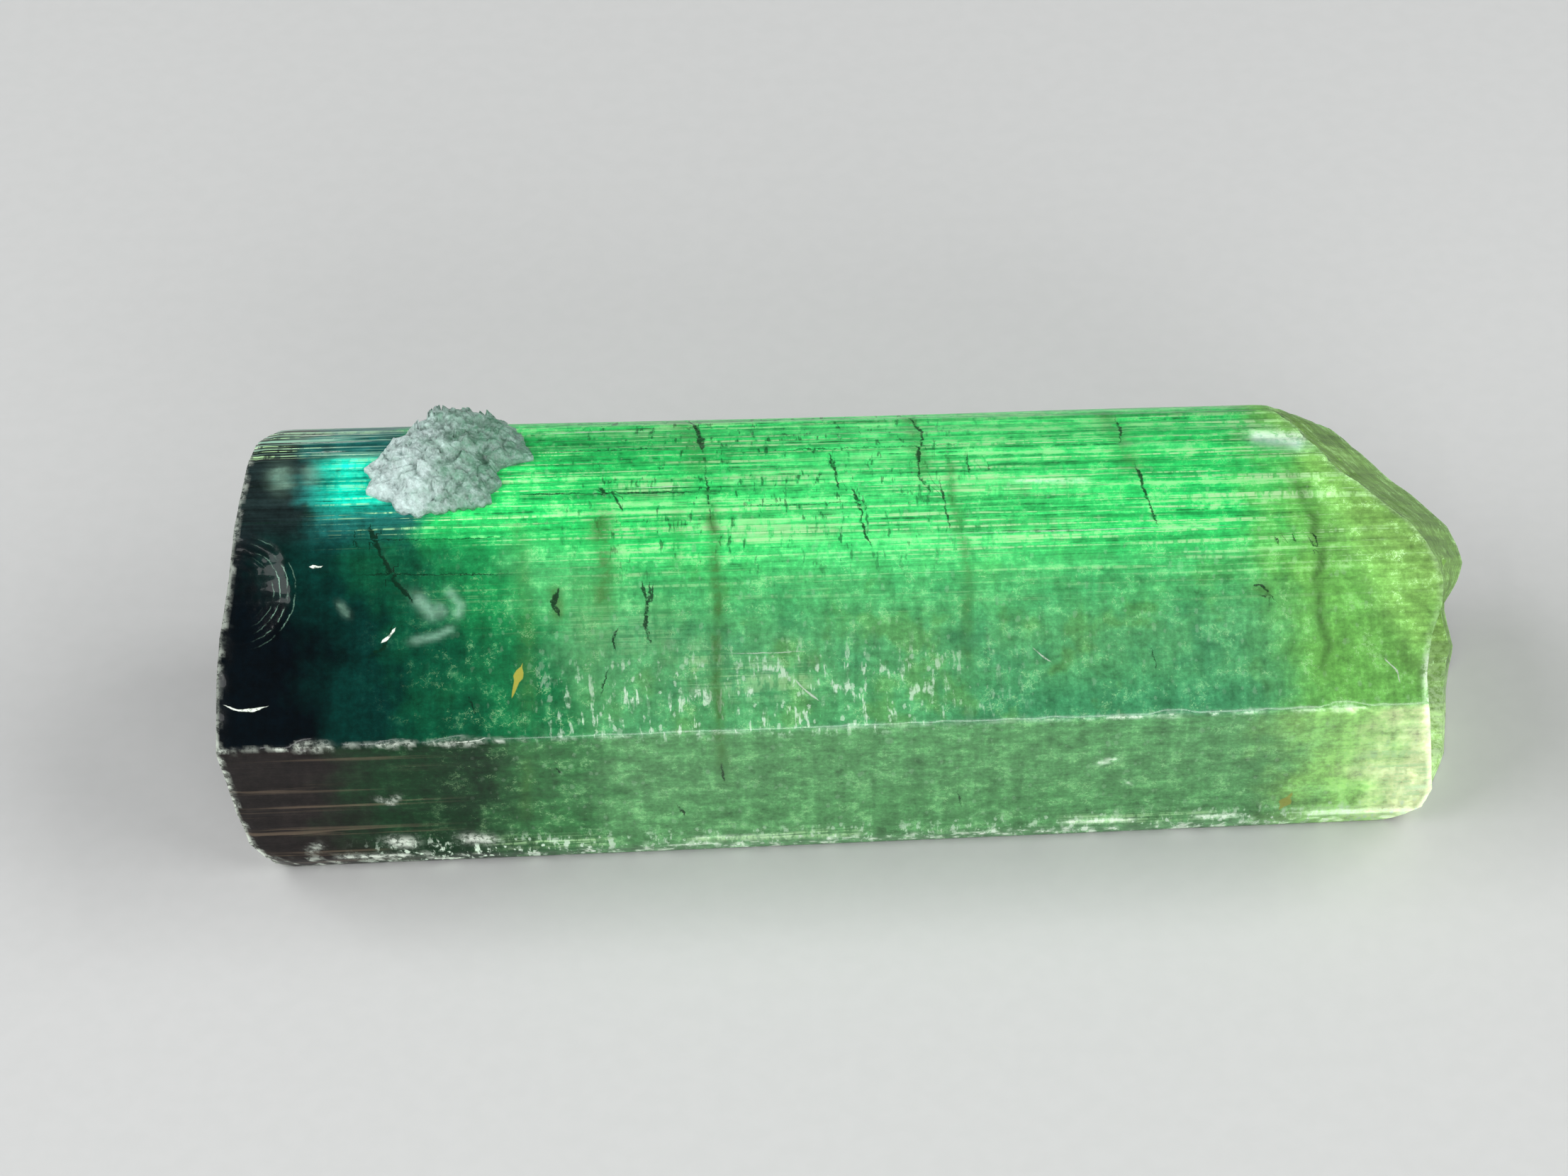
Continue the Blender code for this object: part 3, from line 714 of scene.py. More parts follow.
    def done(self, **sockets):
        for name, value in sockets.items():
            self.feed(value, self.shader.inputs[name.replace("_", " ")])
        return self.material


def crystal_colours(make, looks, girth, along, broad, marks):
    """The plain colours: zones along the main face, the front face and the crown, with wandering edges. The crown's
    zones are partly its own colour and partly a painted glow of light through the upper faces, and a painted teal glow
    lies beside the grain.
    """
    wander = make.span(broad, 0.3, 0.7, -0.022, 0.022, smoothed=False)
    place = make.math("ADD", make.math("ADD", along, wander), make.span(girth, 10.5, 14.0, 0.0, 0.04))
    body = make.bands(place, [
        (0.0, looks.night), (0.05, looks.night), (0.12, looks.deep_teal), (0.175, looks.pine),
        (0.24, looks.bottle), (0.31, looks.leaf), (0.79, looks.leaf), (0.87, looks.lime), (1.0, looks.straw),
    ])
    cool = make.math("MULTIPLY", make.span(girth, 9.6, 7.8), make.span(along, 0.5, 0.62))
    cool = make.math("MULTIPLY", cool, make.span(along, 0.88, 0.8))
    cool = make.math("MAXIMUM", make.math("MULTIPLY", cool, 0.75), make.span(broad, 0.5, 0.68, 0.0, 0.5))
    middle = make.math("MULTIPLY", make.span(along, 0.26, 0.36), make.span(along, 0.86, 0.76))
    body = make.blend(make.math("MULTIPLY", cool, middle), body, looks.jade)
    warm = make.math("MULTIPLY", make.span(broad, 0.48, 0.36), make.math("MULTIPLY", middle, 0.55))
    body = make.blend(warm, body, looks.olive)
    low = make.bands(place, [
        (0.0, looks.smoke), (0.06, looks.smoke), (0.14, looks.moss), (0.19, looks.moss), (0.26, looks.fern),
        (0.32, looks.sage), (0.79, looks.sage), (0.87, looks.pale_lime), (0.93, looks.cream),
    ])
    # The crown's colours, brighter and more saturated than the main face's: partly its own zoning, partly a painted
    # glow of light through it
    bright = make.bands(make.math("ADD", along, wander), [
        (0.0, looks.slate), (0.05, looks.slate), (0.09, looks.lagoon), (0.135, looks.lagoon),
        (0.185, looks.emerald), (0.33, looks.emerald), (0.52, looks.spring),
        (0.78, looks.emerald), (0.86, looks.lime), (0.93, looks.straw),
    ])
    # A painted teal glow on the upper faces beside the grain
    glow = make.math("MULTIPLY", make.span(along, 0.065, 0.105), make.span(along, 0.17, 0.14))
    glow = make.math("MULTIPLY", glow, make.math("MULTIPLY", make.span(girth, 15.4, 16.8), make.span(girth, 19.2, 18.4)))
    bright = make.blend(glow, bright, looks.teal)
    colour = make.blend(marks["front"], body, low)
    colour = make.blend(marks["crown"], colour, bright)
    colour = make.blend(make.math("MULTIPLY", marks["tip"], 0.7), colour, looks.straw)
    return make.blend(make.span(marks["tip"], 0.91, 1.0, 0.0, 0.85), colour, looks.honey), place


def crystal_tone(make, looks, colour, spot, run, girth, along, marks):
    """Lines along the crystal, blotches, streaks across it and a fine grain, from dark to bright; then the crown and
    the front face by the termination painted brighter as light, and painted highlights, glints and reflections.
    """
    crown = marks["crown"]
    lively = make.math("MAXIMUM", crown, make.math("MULTIPLY", marks["tip"], 0.4))
    fine = make.flat_noise(make.stretched(run, girth, 0.13, 5.0), 4, 0.7)
    wide = make.flat_noise(make.stretched(run, girth, 0.06, 1.4), 2, 0.5)
    blotch = make.flat_noise(make.stretched(run, girth, 1.0, 1.3), 5, 0.72)
    streak = make.flat_noise(make.stretched(run, girth, 2.2, 0.2), 3, 0.6)
    grain = make.noise(spot, 4.2, 4, 0.75)
    lines = make.math("ADD", make.span(fine, 0.3, 0.7, -1, 1, False), make.span(wide, 0.3, 0.7, -0.6, 0.6, False))
    lively = make.math("ADD", lively, make.math("MULTIPLY", marks["front"], 0.12))
    tone = make.math("MULTIPLY", lines, make.math("MULTIPLY_ADD", lively, 0.5, 0.07))
    ticks = make.flat_noise(make.stretched(run, girth, 3.6, 1.1), 3, 0.65)
    uneven = make.math("MULTIPLY_ADD", marks["front"], 0.12, 0.4)
    tone = make.math("MULTIPLY_ADD", make.span(blotch, 0.3, 0.7, -1, 1, False), uneven, tone)
    off_crown = make.math("SUBTRACT", 1.0, make.math("MAXIMUM", crown, marks["tip"]))
    across = make.math("MULTIPLY", make.span(streak, 0.3, 0.7, -0.2, 0.2, False), off_crown)
    tone = make.math("ADD", tone, across)
    tone = make.math("ADD", tone, make.span(grain, 0.3, 0.7, -0.34, 0.34, False))
    tone = make.math("MAXIMUM", tone, make.math("MULTIPLY", tone, 0.7))
    # Painted light: the crown is made 12% brighter as a glow, and the front face grows brighter towards the termination
    # (lit_end)
    gain = make.math("MULTIPLY_ADD", crown, 0.12, make.math("ADD", 1.0, tone))
    lit_end = make.math("MULTIPLY", marks["front"], make.span(along, 0.80, 0.92, 0.0, 0.5))
    gain = make.math("MAXIMUM", make.math("MULTIPLY", gain, make.math("ADD", lit_end, 0.8)), 0.12)
    colour = make.blend(1.0, colour, make.point(gain, gain, gain), "MULTIPLY")
    # Painted highlights: the brightest tone, and the shine patches, turn to the glint colour
    past_dark = make.span(along, 0.10, 0.28)
    shine = make.math("MULTIPLY", marks["shine"], make.span(fine, 0.45, 0.55, 0.1, 1.0))
    shine = make.math("MULTIPLY", shine, make.span(ticks, 0.40, 0.52, 0.25, 1.0))
    pale = make.math("MULTIPLY", make.span(tone, 0.2, 0.8), make.math("MULTIPLY_ADD", crown, 0.5, 0.12))
    pale = make.math("MAXIMUM", make.math("MULTIPLY", pale, past_dark), shine)
    colour = make.blend(pale, colour, looks.glint)

    # Thin lines on the crown, dark and bright, broken up along their length; the bright ones are painted glints off the
    # striations
    stripe = make.flat_noise(make.stretched(run, girth, 0.10, 7.0), 3, 0.6)
    whole = make.span(blotch, 0.36, 0.56, 1.0, 0.25)
    dark = make.math("MULTIPLY", make.math("MULTIPLY", make.span(stripe, 0.40, 0.33), crown), whole)
    colour = make.blend(make.math("MULTIPLY", dark, 0.7), colour, looks.shade)
    top = make.math("MULTIPLY", make.span(girth, 18.4, 18.9), make.span(girth, 23.5, 22.0))
    past_dark = make.math("MAXIMUM", make.span(along, 0.06, 0.16), top)
    light = make.math("MULTIPLY", make.math("MULTIPLY", make.span(stripe, 0.56, 0.65), crown), past_dark)
    light = make.math("MULTIPLY", light, make.span(ticks, 0.40, 0.54, 0.15, 0.9))
    colour = make.blend(light, colour, looks.glint)
    # Painted reflections: pale lines along the top of the crown at the dark end
    pale_end = make.math("MULTIPLY", top, make.span(along, 0.17, 0.12))
    lit = make.math("MULTIPLY", make.span(fine, 0.5, 0.62), pale_end)
    colour = make.blend(make.math("MULTIPLY", lit, 0.85), colour, looks.haze)
    brown = make.math("MULTIPLY", make.span(wide, 0.52, 0.66), make.math("MULTIPLY", marks["front"], make.span(along, 0.2, 0.12)))
    brown = make.math("MULTIPLY", brown, make.span(fine, 0.45, 0.6))
    colour = make.blend(make.math("MULTIPLY", brown, 0.28), colour, looks.umber)
    return colour, lines, grain, blotch, ticks


def crystal_sparks(make, looks, colour, run, girth, along, curl, blotch, ticks, marks):
    """Short ticks across the lines, the bright ones painted glints, small painted sparks of light, and hair-fine curls
    where a noise crosses its middle.
    """
    crown = marks["crown"]
    middle = make.math("MULTIPLY", make.span(along, 0.22, 0.32), make.span(along, 0.66, 0.5))
    belt = make.math("MULTIPLY", make.span(girth, 11.0, 9.0), make.span(girth, 6.6, 7.4))
    # Bright ticks across the lines of the main face: painted glints
    glint_tick = make.math("MULTIPLY", make.span(ticks, 0.56, 0.66), make.math("MULTIPLY", middle, belt))
    glint_tick = make.math("MULTIPLY", glint_tick, make.span(blotch, 0.42, 0.56, 0.1, 0.85))
    colour = make.blend(glint_tick, colour, looks.painted_spark)
    notch = make.math("MULTIPLY", make.span(ticks, 0.40, 0.30), make.math("MULTIPLY", crown, middle))
    colour = make.blend(make.math("MULTIPLY", notch, 0.7), colour, looks.shade)

    # Small painted sparks of light, over the crystal away from the dark end, most along the foot and the middle of the
    # main face
    spots = make.cells(make.stretched(run, girth, 3.0, 1.7), 1.0)
    reach = make.math("ADD", spots["Distance"], make.span(curl, 0.3, 0.7, -0.3, 0.3, False))
    painted_spark = make.math("MULTIPLY", make.span(reach, 0.16, 0.04), make.span(spots["Color"], 0.45, 0.6))
    edge = make.math("MULTIPLY", make.span(girth, 2.4, 0.8), make.span(along, 0.08, 0.16))
    share = make.math("MAXIMUM", edge, make.math("MULTIPLY", make.math("MULTIPLY", middle, belt), 0.55))
    share = make.math("MAXIMUM", share, make.span(along, 0.15, 0.3, 0.0, 0.12))
    share = make.math("MULTIPLY", share, make.span(marks["tip"], 0.2, 0.6, 1.0, 0.0))
    colour = make.blend(make.math("MULTIPLY", painted_spark, share), colour, looks.painted_spark)
    # Clusters of painted sparks of light along the foot
    clump = make.math("MULTIPLY", make.span(ticks, 0.52, 0.62), make.span(blotch, 0.44, 0.58))
    clump = make.math("MULTIPLY", clump, make.math("MULTIPLY", make.span(girth, 2.2, 1.0), make.span(along, 0.08, 0.14)))
    colour = make.blend(make.math("MULTIPLY", clump, 0.85), colour, looks.painted_spark)

    hair = make.math("ABSOLUTE", make.math("SUBTRACT", curl, 0.5))
    hair = make.math("MULTIPLY", make.span(hair, 0.012, 0.0), make.span(along, 0.10, 0.34, 0.0, 0.8))
    hair = make.math("MULTIPLY", hair, make.span(blotch, 0.50, 0.64))
    return make.blend(hair, colour, looks.glint)


def crystal_marks(make, looks, colour, run, girth, grain, blotch, curl, marks):
    """Veils, haze, fractures, flecks, scratches, the scar's rings, and broken or frosted places; some scratches and
    frosted places are painted glints, and the rings carry painted glints too.
    """
    dotted = make.span(blotch, 0.38, 0.58, 0.4, 1.0)
    colour = make.blend(make.math("MULTIPLY", make.math("MULTIPLY", marks["veil"], dotted), 0.9), colour, looks.veil)
    colour = make.blend(make.math("MULTIPLY", marks["haze"], make.span(blotch, 0.3, 0.6, 0.6, 1.0)), colour, looks.haze)

    wobble = make.span(curl, 0.3, 0.7, -0.05, 0.05, False)
    ragged = make.math("ADD", wobble, make.span(grain, 0.3, 0.7, -0.06, 0.06, False))
    crack = make.math("ABSOLUTE", make.math("ADD", marks["crack"], ragged))
    crack = make.span(make.math("SUBTRACT", crack, marks["crack_width"]), 0.02, -0.02)
    crack = make.math("MULTIPLY", crack, make.span(grain, 0.38, 0.48, 0.35, 0.92))
    colour = make.blend(crack, colour, looks.shade)
    fleck = make.math("SUBTRACT", make.math("ABSOLUTE", marks["fleck"]), marks["fleck_width"])
    colour = make.blend(make.span(fleck, 0.02, -0.02, 0.0, 0.7), colour, looks.fleck)
    # Scratches in the frosted colour; some of them are painted glints, bright lines and dashes
    scratch = make.math("ABSOLUTE", make.math("MULTIPLY_ADD", wobble, 0.5, marks["scratch"]))
    scratch = make.span(make.math("SUBTRACT", scratch, marks["scratch_width"]), 0.02, -0.015)
    scratch = make.math("MULTIPLY", scratch, make.span(grain, 0.36, 0.5, 0.2, 0.9))
    colour = make.blend(scratch, colour, looks.frost_and_glint)

    # The scar's rings, painted pale: its ridges, with painted glints on them
    off = make.math("SUBTRACT", run, SCAR_AT[0])
    up = make.math("SUBTRACT", girth, SCAR_GIRTH)
    far = make.math("SQRT", make.math("ADD", make.math("MULTIPLY", off, off), make.math("MULTIPLY", up, up)))
    ring = make.math("SINE", make.math("MULTIPLY", make.math("ADD", far, wobble), 2 * math.pi / SCAR_RING_STEP))
    ring = make.math("MULTIPLY", make.span(ring, 0.8, 1.0), make.span(far, 1.0, 1.7))
    ring = make.math("MULTIPLY", make.math("MULTIPLY", ring, make.span(far, 2.25, 2.05)), make.span(off, 0.5, 1.6))
    ring = make.math("MULTIPLY", ring, make.span(blotch, 0.40, 0.60, 0.0, 0.5))
    colour = make.blend(ring, colour, looks.haze)

    # Frosted and broken places turn white, and so do the painted glints along the foot and on the crown
    white = make.math("MULTIPLY", marks["frost_and_glint"], make.span(grain, 0.40, 0.54, 0.2, 1.0))
    return make.blend(white, colour, looks.frost_and_glint)


CRYSTAL_ATTRIBUTES = (
    "crown", "front", "tip", "frost_and_glint", "veil", "haze", "crack", "crack_width", "fleck", "fleck_width",
    "scratch", "scratch_width", "shine",
)


def tourmaline_finish(looks):
    """Clear to cloudy tourmaline: colours by X and face, fine lines, veils, fractures and frosted places, with a
    painted glow on the crown and painted glints and reflections.
    """
    make = Finish("tourmaline")
    x, y, z = make.place()
    spot = make.point(x, y, z)
    run, girth = make.map("growth")
    marks = {name: make.attribute(name) for name in CRYSTAL_ATTRIBUTES}
    along = make.span(x, BASE_X, TIP_X, smoothed=False)
    curl = make.noise(spot, 1.5, 5, 0.75)
    broad = make.noise(spot, 0.55, 3, 0.6)
    colour, place = crystal_colours(make, looks, girth, along, broad, marks)
    colour, lines, grain, blotch, ticks = crystal_tone(make, looks, colour, spot, run, girth, along, marks)
    colour = crystal_sparks(make, looks, colour, run, girth, along, curl, blotch, ticks, marks)
    colour = crystal_marks(make, looks, colour, run, girth, grain, blotch, curl, marks)

    matt = make.math("MAXIMUM", marks["frost_and_glint"], make.math("MULTIPLY", marks["tip"], 0.7))
    clear = make.math("MULTIPLY", make.span(place, 0.12, 0.36), make.span(matt, 0.0, 0.63, 1.0, 0.1))
    height = make.math("MULTIPLY_ADD", lines, make.math("MULTIPLY_ADD", marks["crown"], 0.6, 0.15), grain)
    return make.done(
        Base_Color=colour,
        Roughness=make.math("MULTIPLY_ADD", matt, 0.35, looks.roughness),
        Transmission_Weight=make.math("MULTIPLY", clear, looks.clearness),
        IOR=looks.refraction,
        Specular_IOR_Level=0.05,
        Coat_Weight=make.span(matt, 0.0, 0.6, looks.polish, 0.0),
        Coat_Roughness=0.06,
        Coat_IOR=looks.refraction,
        Normal=make.bump(height, 0.3, 0.03 * MM),
    )


def albite_finish(looks):
    """Sugary albite: white towards the dark end and grey-green away from it, with small glints."""
    make = Finish("albite")
    x, y, z = make.place()
    spot = make.point(x, y, z)
    grains = make.cells(spot, 8.0)
    cloud = make.noise(spot, 1.6, 5, 0.75)
    dust = make.noise(spot, 9.0, 4, 0.7)
    side = make.math("ADD", make.span(x, -16.6, -13.4, 0.0, 0.85), make.span(cloud, 0.35, 0.65, -0.35, 0.35, False))
    colour = make.blend(side, looks.white, looks.shade)
    rays = make.noise(make.point(make.math("MULTIPLY", make.math("ADD", x, y), 3.0), make.math("SUBTRACT", x, y), z), 1.0, 4, 0.7)
    tone = make.math("ADD", make.span(grains["Color"], 0.0, 1.0, 0.8, 1.12, False), make.span(dust, 0.3, 0.7, -0.12, 0.12, False))
    tone = make.math("ADD", tone, make.span(rays, 0.3, 0.7, -0.3, 0.3, False))
    colour = make.blend(1.0, colour, make.point(tone, tone, tone), "MULTIPLY")
    rough = make.span(grains["Color"], 0.1, 0.9, 0.25, 0.7)
    normal = make.bump(make.math("ADD", dust, grains["Distance"]), 0.7, 0.05 * MM)
    return make.done(Base_Color=colour, Roughness=rough, Transmission_Weight=0.1, IOR=1.53, Normal=normal)


def make_crystal(looks):
    """The crystal's skin: a grid of stations by girth for its sides, and rings that close both ends."""
    girth = columns()
    y, z, ny, nz, sunk = round_section(girth)
    start = np.full(girth.shape, BASE_X)
    end = np.full(girth.shape, TIP_X)
    for _ in range(4):
        start = base_height(*rise_and_near(*narrowed(y, z, start)))
        end = tip_height(*rise_and_near(*narrowed(y, z, end)))
    middle = np.linspace(0.011, 0.989, STATIONS)
    share = np.concatenate([END_STATIONS, middle, 1 - np.array(END_STATIONS[::-1])])
    x = start + (end - start) * share[:, None]
    girths = np.broadcast_to(girth, x.shape)
    yy, zz = narrowed(y, z, x)
    rise, _ = rise_and_near(yy, zz)

    scar, in_scar = scar_relief(x, girths)
    chips, broken = chip_relief(x, girths)
    crack, crack_width = line_marks(x, girths, FRACTURES)
    scratch, scratch_width = line_marks(x, girths, SCRATCHES)
    fleck, fleck_width = line_marks(x, girths, FLECKS, 1.5)
    drop = sunk * groove_strength(x, girths) * 0.8
    drop += growth_relief(x, girths) * lined(girth) * looks.line_depth * (1 - in_scar)
    drop += corner_wear(girth) + chips
    drop += FRACTURE_DEPTH * smooth(0.06, -0.04, np.abs(crack) - crack_width)
    from_base, from_tip = x - start, end - x
    rough_rim = 0.5 + 0.5 * lattice_noise(girths / 0.4, x / 0.3, 61)
    drop += 0.09 * rough_rim * smooth(0.5, 0.0, from_base) + 0.05 * rough_rim * smooth(0.25, 0.0, from_tip)
    on_main = smooth(SPAN_OF["main"][0] - 0.2, SPAN_OF["main"][0] + 0.6, girths)
    on_main *= smooth(SPAN_OF["shoulder"][0] + 1.4, SPAN_OF["shoulder"][0] + 0.2, girths)
    drop += scar * on_main
    drop *= 1 - smooth(SPAN_OF["rest"][0], SPAN_OF["rest"][0] + 0.2, girths)

    sides = np.stack([x, yy - ny * drop, zz - nz * drop], -1)
    rows, wide = x.shape
    k = np.arange(wide)
    after = (k + 1) % wide
    i = np.arange(rows - 1)[:, None]
    side_quads = np.stack(
        np.broadcast_arrays(i * wide + k, i * wide + after, (i + 1) * wide + after, (i + 1) * wide + k), -1
    ).reshape(-1, 4)[:, ::-1]
    next_girth = np.where(after == 0, GIRTH, girth[after])
    grown = np.stack([
        np.stack([x[:-1], girths[:-1]], -1),
        np.stack([x[:-1][:, after], np.broadcast_to(next_girth, x[:-1].shape)], -1),
        np.stack([x[1:][:, after], np.broadcast_to(next_girth, x[:-1].shape)], -1),
        np.stack([x[1:], girths[1:]], -1),
    ], 2).reshape(-1, 4, 2)[:, ::-1]

    points = [sides.reshape(-1, 3)]
    corners = [side_quads.ravel()]
    counts = [np.full(len(side_quads), 4)]
    growth = [grown.reshape(-1, 2)]
    marks = {
        "crown": [(crown_share(x, girths) * (1 - 0.8 * matt_zone(x, girths))).ravel()],
        "front": [smooth(RIDGE_GIRTH + 0.05, RIDGE_GIRTH - 0.05, girths).ravel()],
        "tip": [(matt_zone(x, girths) * smooth(6.0, 9.0, girths)).ravel()],
        "veil": [soft_marks(x, girths, VEILS, 41).ravel()],
        "haze": [soft_marks(x, girths, HAZES, 42).ravel()],
        "shine": [soft_marks(x, girths, SHINES, 43).ravel()],
        "crack": [crack.ravel()],
        "crack_width": [crack_width.ravel()],
        "fleck": [fleck.ravel()],
        "fleck_width": [fleck_width.ravel()],
        "scratch": [scratch.ravel()],
        "scratch_width": [scratch_width.ravel()],
        "frost_and_glint": [frost_share(x, girths, broken, from_base, from_tip).ravel()],
    }
    total = rows * wide
    for rim_row, height, rings, is_tip in ((0, base_height, BASE_RINGS, False), (rows - 1, tip_height, TIP_RINGS, True)):
        rim = sides[rim_row]
        centre = rim[:, 1:].mean(0)
        shares = np.linspace(1, 0, rings + 1)[1:-1]
        yz = centre + (rim[None, :, 1:] - centre) * shares[:, None, None]
        up, near = rise_and_near(yz[..., 0], yz[..., 1])
        at_rim = height(*rise_and_near(rim[:, 1], rim[:, 2]))
        xx = height(up, near) + (rim[:, 0] - at_rim) * shares[:, None] ** 8
        within = 1 - shares[:, None] ** 10
        if is_tip:
            xx = xx - within * 0.05 * (1 + lattice_noise(up / 0.16, near / 2.5, 71))
            xx = xx - within * 0.04 * (1 + lattice_noise(up / 0.5, near / 4.0, 72))
        else:
            xx = xx + within * 0.05 * (1 + lattice_noise(up / 0.7, near / 0.9, 73))
        inner = np.concatenate([np.stack([xx, yz[..., 0], yz[..., 1]], -1).reshape(-1, 3)])
        top, near0 = rise_and_near(*centre)
        pole = np.array([[float(height(top, near0)), *centre]])
        points += [inner, pole]
        ring = np.concatenate([rim_row * wide + k[None], total + np.arange(len(shares))[:, None] * wide + k])
        outer, following = ring[:-1], ring[1:]
        quads = np.stack([outer, following, following[:, after], outer[:, after]], -1).reshape(-1, 4)
        fan = np.stack([ring[-1], np.full(wide, total + len(inner)), ring[-1][after]], -1)
        if is_tip:
            quads, fan = quads[:, ::-1], fan[:, ::-1]
        corners += [quads.ravel(), fan.ravel()]
        counts += [np.full(len(quads), 4), np.full(len(fan), 3)]
        everything = np.concatenate(points)
        cap_up, cap_near = rise_and_near(everything[:, 1], everything[:, 2])
        for faces in (quads, fan):
            growth.append(np.stack([cap_near[faces] + 40, cap_up[faces] + 60], -1).reshape(-1, 2))
        here = np.concatenate([inner, pole])
        rises, _ = rise_and_near(here[:, 1], here[:, 2])
        edge = np.concatenate([np.repeat(shares, wide), [0]])
        marks["crown"].append(np.zeros(len(here)))
        marks["front"].append(smooth(-3.2, -3.4, rises))
        marks["tip"].append(np.full(len(here), 1.0 if is_tip else 0.0))
        for name in ("veil", "haze", "shine"):
            marks[name].append(np.zeros(len(here)))
        for name in ("crack", "fleck", "scratch"):
            marks[name].append(np.full(len(here), 1.0))
            marks[name + "_width"].append(np.full(len(here), -1.0))
        rim_frost = smooth(0.95, 1.0, edge) * 0.3
        marks["frost_and_glint"].append(rim_frost if not is_tip else rim_frost + 0.25 * smooth(0.0, -5.0, rises))
        total += len(inner) + 1

    points = np.concatenate(points)
    low, high = points.min(0), points.max(0)
    shift = frame_shift() - (low + high) / 2
    shift[2] = 0
    points = points + shift
    attributes = {name: np.concatenate(values) for name, values in marks.items()}
    made = mesh_piece(
        "tourmaline",
        points,
        np.concatenate(corners),
        np.concatenate(counts),
        {"growth": np.concatenate(growth)},
        attributes,
        tourmaline_finish(looks),
        CRYSTAL_NODE,
    )
    return made


def crown_share(x, girth):
    """1 on the striated upper faces, whose colours are painted brighter as a glow of light through them, fading down
    the main face, less so at the dark end.
    """
    low, high = SPAN_OF["main"]
    down = 0.3 * smooth(low + 3.0, high - 1.4, girth) * smooth(-17.0, -9.0, x)
    down = down + (1 - down) * smooth(high - 0.4, high + 1.9, girth + 1.7 * smooth(-15.0, -7.0, x))
    return down * smooth(SPAN_OF["under"][1], SPAN_OF["under"][0], girth)


def matt_zone(x, girth):
    """How matt and fibrous a side is: more beyond a line that slants across it near the termination."""
    girths, starts = np.array(MATT_BEGINS).T
    return 0.9 * smooth(-0.4, 1.0, x - np.interp(girth, girths, starts))


def frost_share(x, girth, broken, from_base, from_tip):
    """White, broken or frosted places: chips and the base's rim; and painted glints: the foot's bright edge and some of
    the listed patches.
    """
    ragged = lattice_noise(x / 0.3, girth / 0.25, 81)
    below = smooth(8.5, 6.5, girth)
    rim = smooth(0.20, 0.0, from_base + 0.12 * ragged) * (0.3 + 0.4 * below)
    # Painted glints along the foot's edge
    foot = smooth(1.3, 0.6, girth) * smooth(0.2, 0.6, ragged) * 0.8
    chipped = np.interp(x, (-22.0, -13.5, -11.0, 6.0, 9.0, 20.0), (0.9, 0.9, 0.35, 0.3, 0.8, 0.5))
    gaps = smooth(-0.3, 0.5, lattice_noise(x / 0.4, x * 0, 84))
    off = girth - RIDGE_GIRTH - 0.05 * lattice_noise(x / 0.5, x * 0, 85)
    ridge = np.exp(-((off / 0.06) ** 2)) * chipped * gaps
    tip = smooth(0.30, 0.0, from_tip) * (0.1 + 0.5 * smooth(10.0, 8.5, girth))
    corner = smooth(17.0, 20.0, x) * below * (0.1 + 0.3 * lattice_noise(x / 1.5, girth / 0.3, 82))
    white = soft_marks(x, girth, FROSTED, 83)
    crumbs = broken * (0.35 + 0.5 * ragged)
    return np.clip(np.maximum.reduce([crumbs, rim, foot, ridge, tip, corner, white]), 0, 1)


# The albite grain: its outline as X and girth
ALBITE_MIDDLE = (-14.7, 18.5)
ALBITE_OUTLINE = (
    (-15.2, 22.3), (-14.2, 22.6), (-13.2, 22.0), (-12.5, 21.0), (-12.2, 20.2), (-11.8, 19.1),
    (-11.4, 18.2), (-12.3, 17.9), (-12.8, 17.6), (-12.7, 17.0), (-13.0, 16.5), (-13.0, 16.0),
    (-13.6, 15.8), (-14.3, 15.7), (-15.2, 15.7), (-16.2, 15.6), (-16.5, 16.0), (-17.4, 16.6),
    (-17.1, 17.3), (-17.6, 17.8), (-17.0, 18.3), (-16.6, 19.3), (-16.2, 19.8), (-15.6, 20.6),
)
ALBITE_CREST = ((-15.9, 16.6), (-15.1, 20.9))
ALBITE_SLOPES = (2.0, 4.0)
ALBITE_TOP = 22.6
ALBITE_HEIGHT = 0.75
ALBITE_RIM = 0.10
ALBITE_GRAINS = 520
ALBITE_SEED = 5


def grain_lift(x, girth, share):
    """Height of the grain over the faces: a tent over its crest, broken into small tilted facets."""
    start, end = (np.array(point) for point in ALBITE_CREST)
    way = (end - start) / np.linalg.norm(end - start)
    across = (x - start[0]) * way[1] - (girth - start[1]) * way[0]
    tent = np.clip(1 - np.abs(across) / np.where(across < 0, *ALBITE_SLOPES), 0, 1)
    edge = np.clip((1 - share) / 0.3, 0, 1) ** 0.7
    tent = tent * np.clip((ALBITE_TOP - girth) / (ALBITE_TOP - end[1]), 0.3, 1)
    plain = ALBITE_RIM + (ALBITE_HEIGHT - ALBITE_RIM) * tent * edge
    rng = np.random.default_rng(ALBITE_SEED)
    seeds = rng.uniform((-18, 15.2), (-11, 23), (ALBITE_GRAINS, 2))
    tilts = rng.uniform(-0.6, 0.6, (ALBITE_GRAINS, 2))
    steps = rng.uniform(-0.06, 0.06, ALBITE_GRAINS)
    lumps = 0.12 * lattice_noise(x / 0.7, girth / 0.7, 92) + 0.06 * lattice_noise(x / 0.3, girth / 0.3, 93)
    dx = x[..., None] - seeds[:, 0]
    dg = girth[..., None] - seeds[:, 1]
    owner = np.argmin(dx**2 + dg**2, -1)[..., None]
    near_x, near_g = (np.take_along_axis(d, owner, -1)[..., 0] for d in (dx, dg))
    owner = owner[..., 0]
    facets = steps[owner] + near_x * tilts[owner, 0] + near_g * tilts[owner, 1]
    return plain + (facets + lumps) * smooth(1.0, 0.85, share)


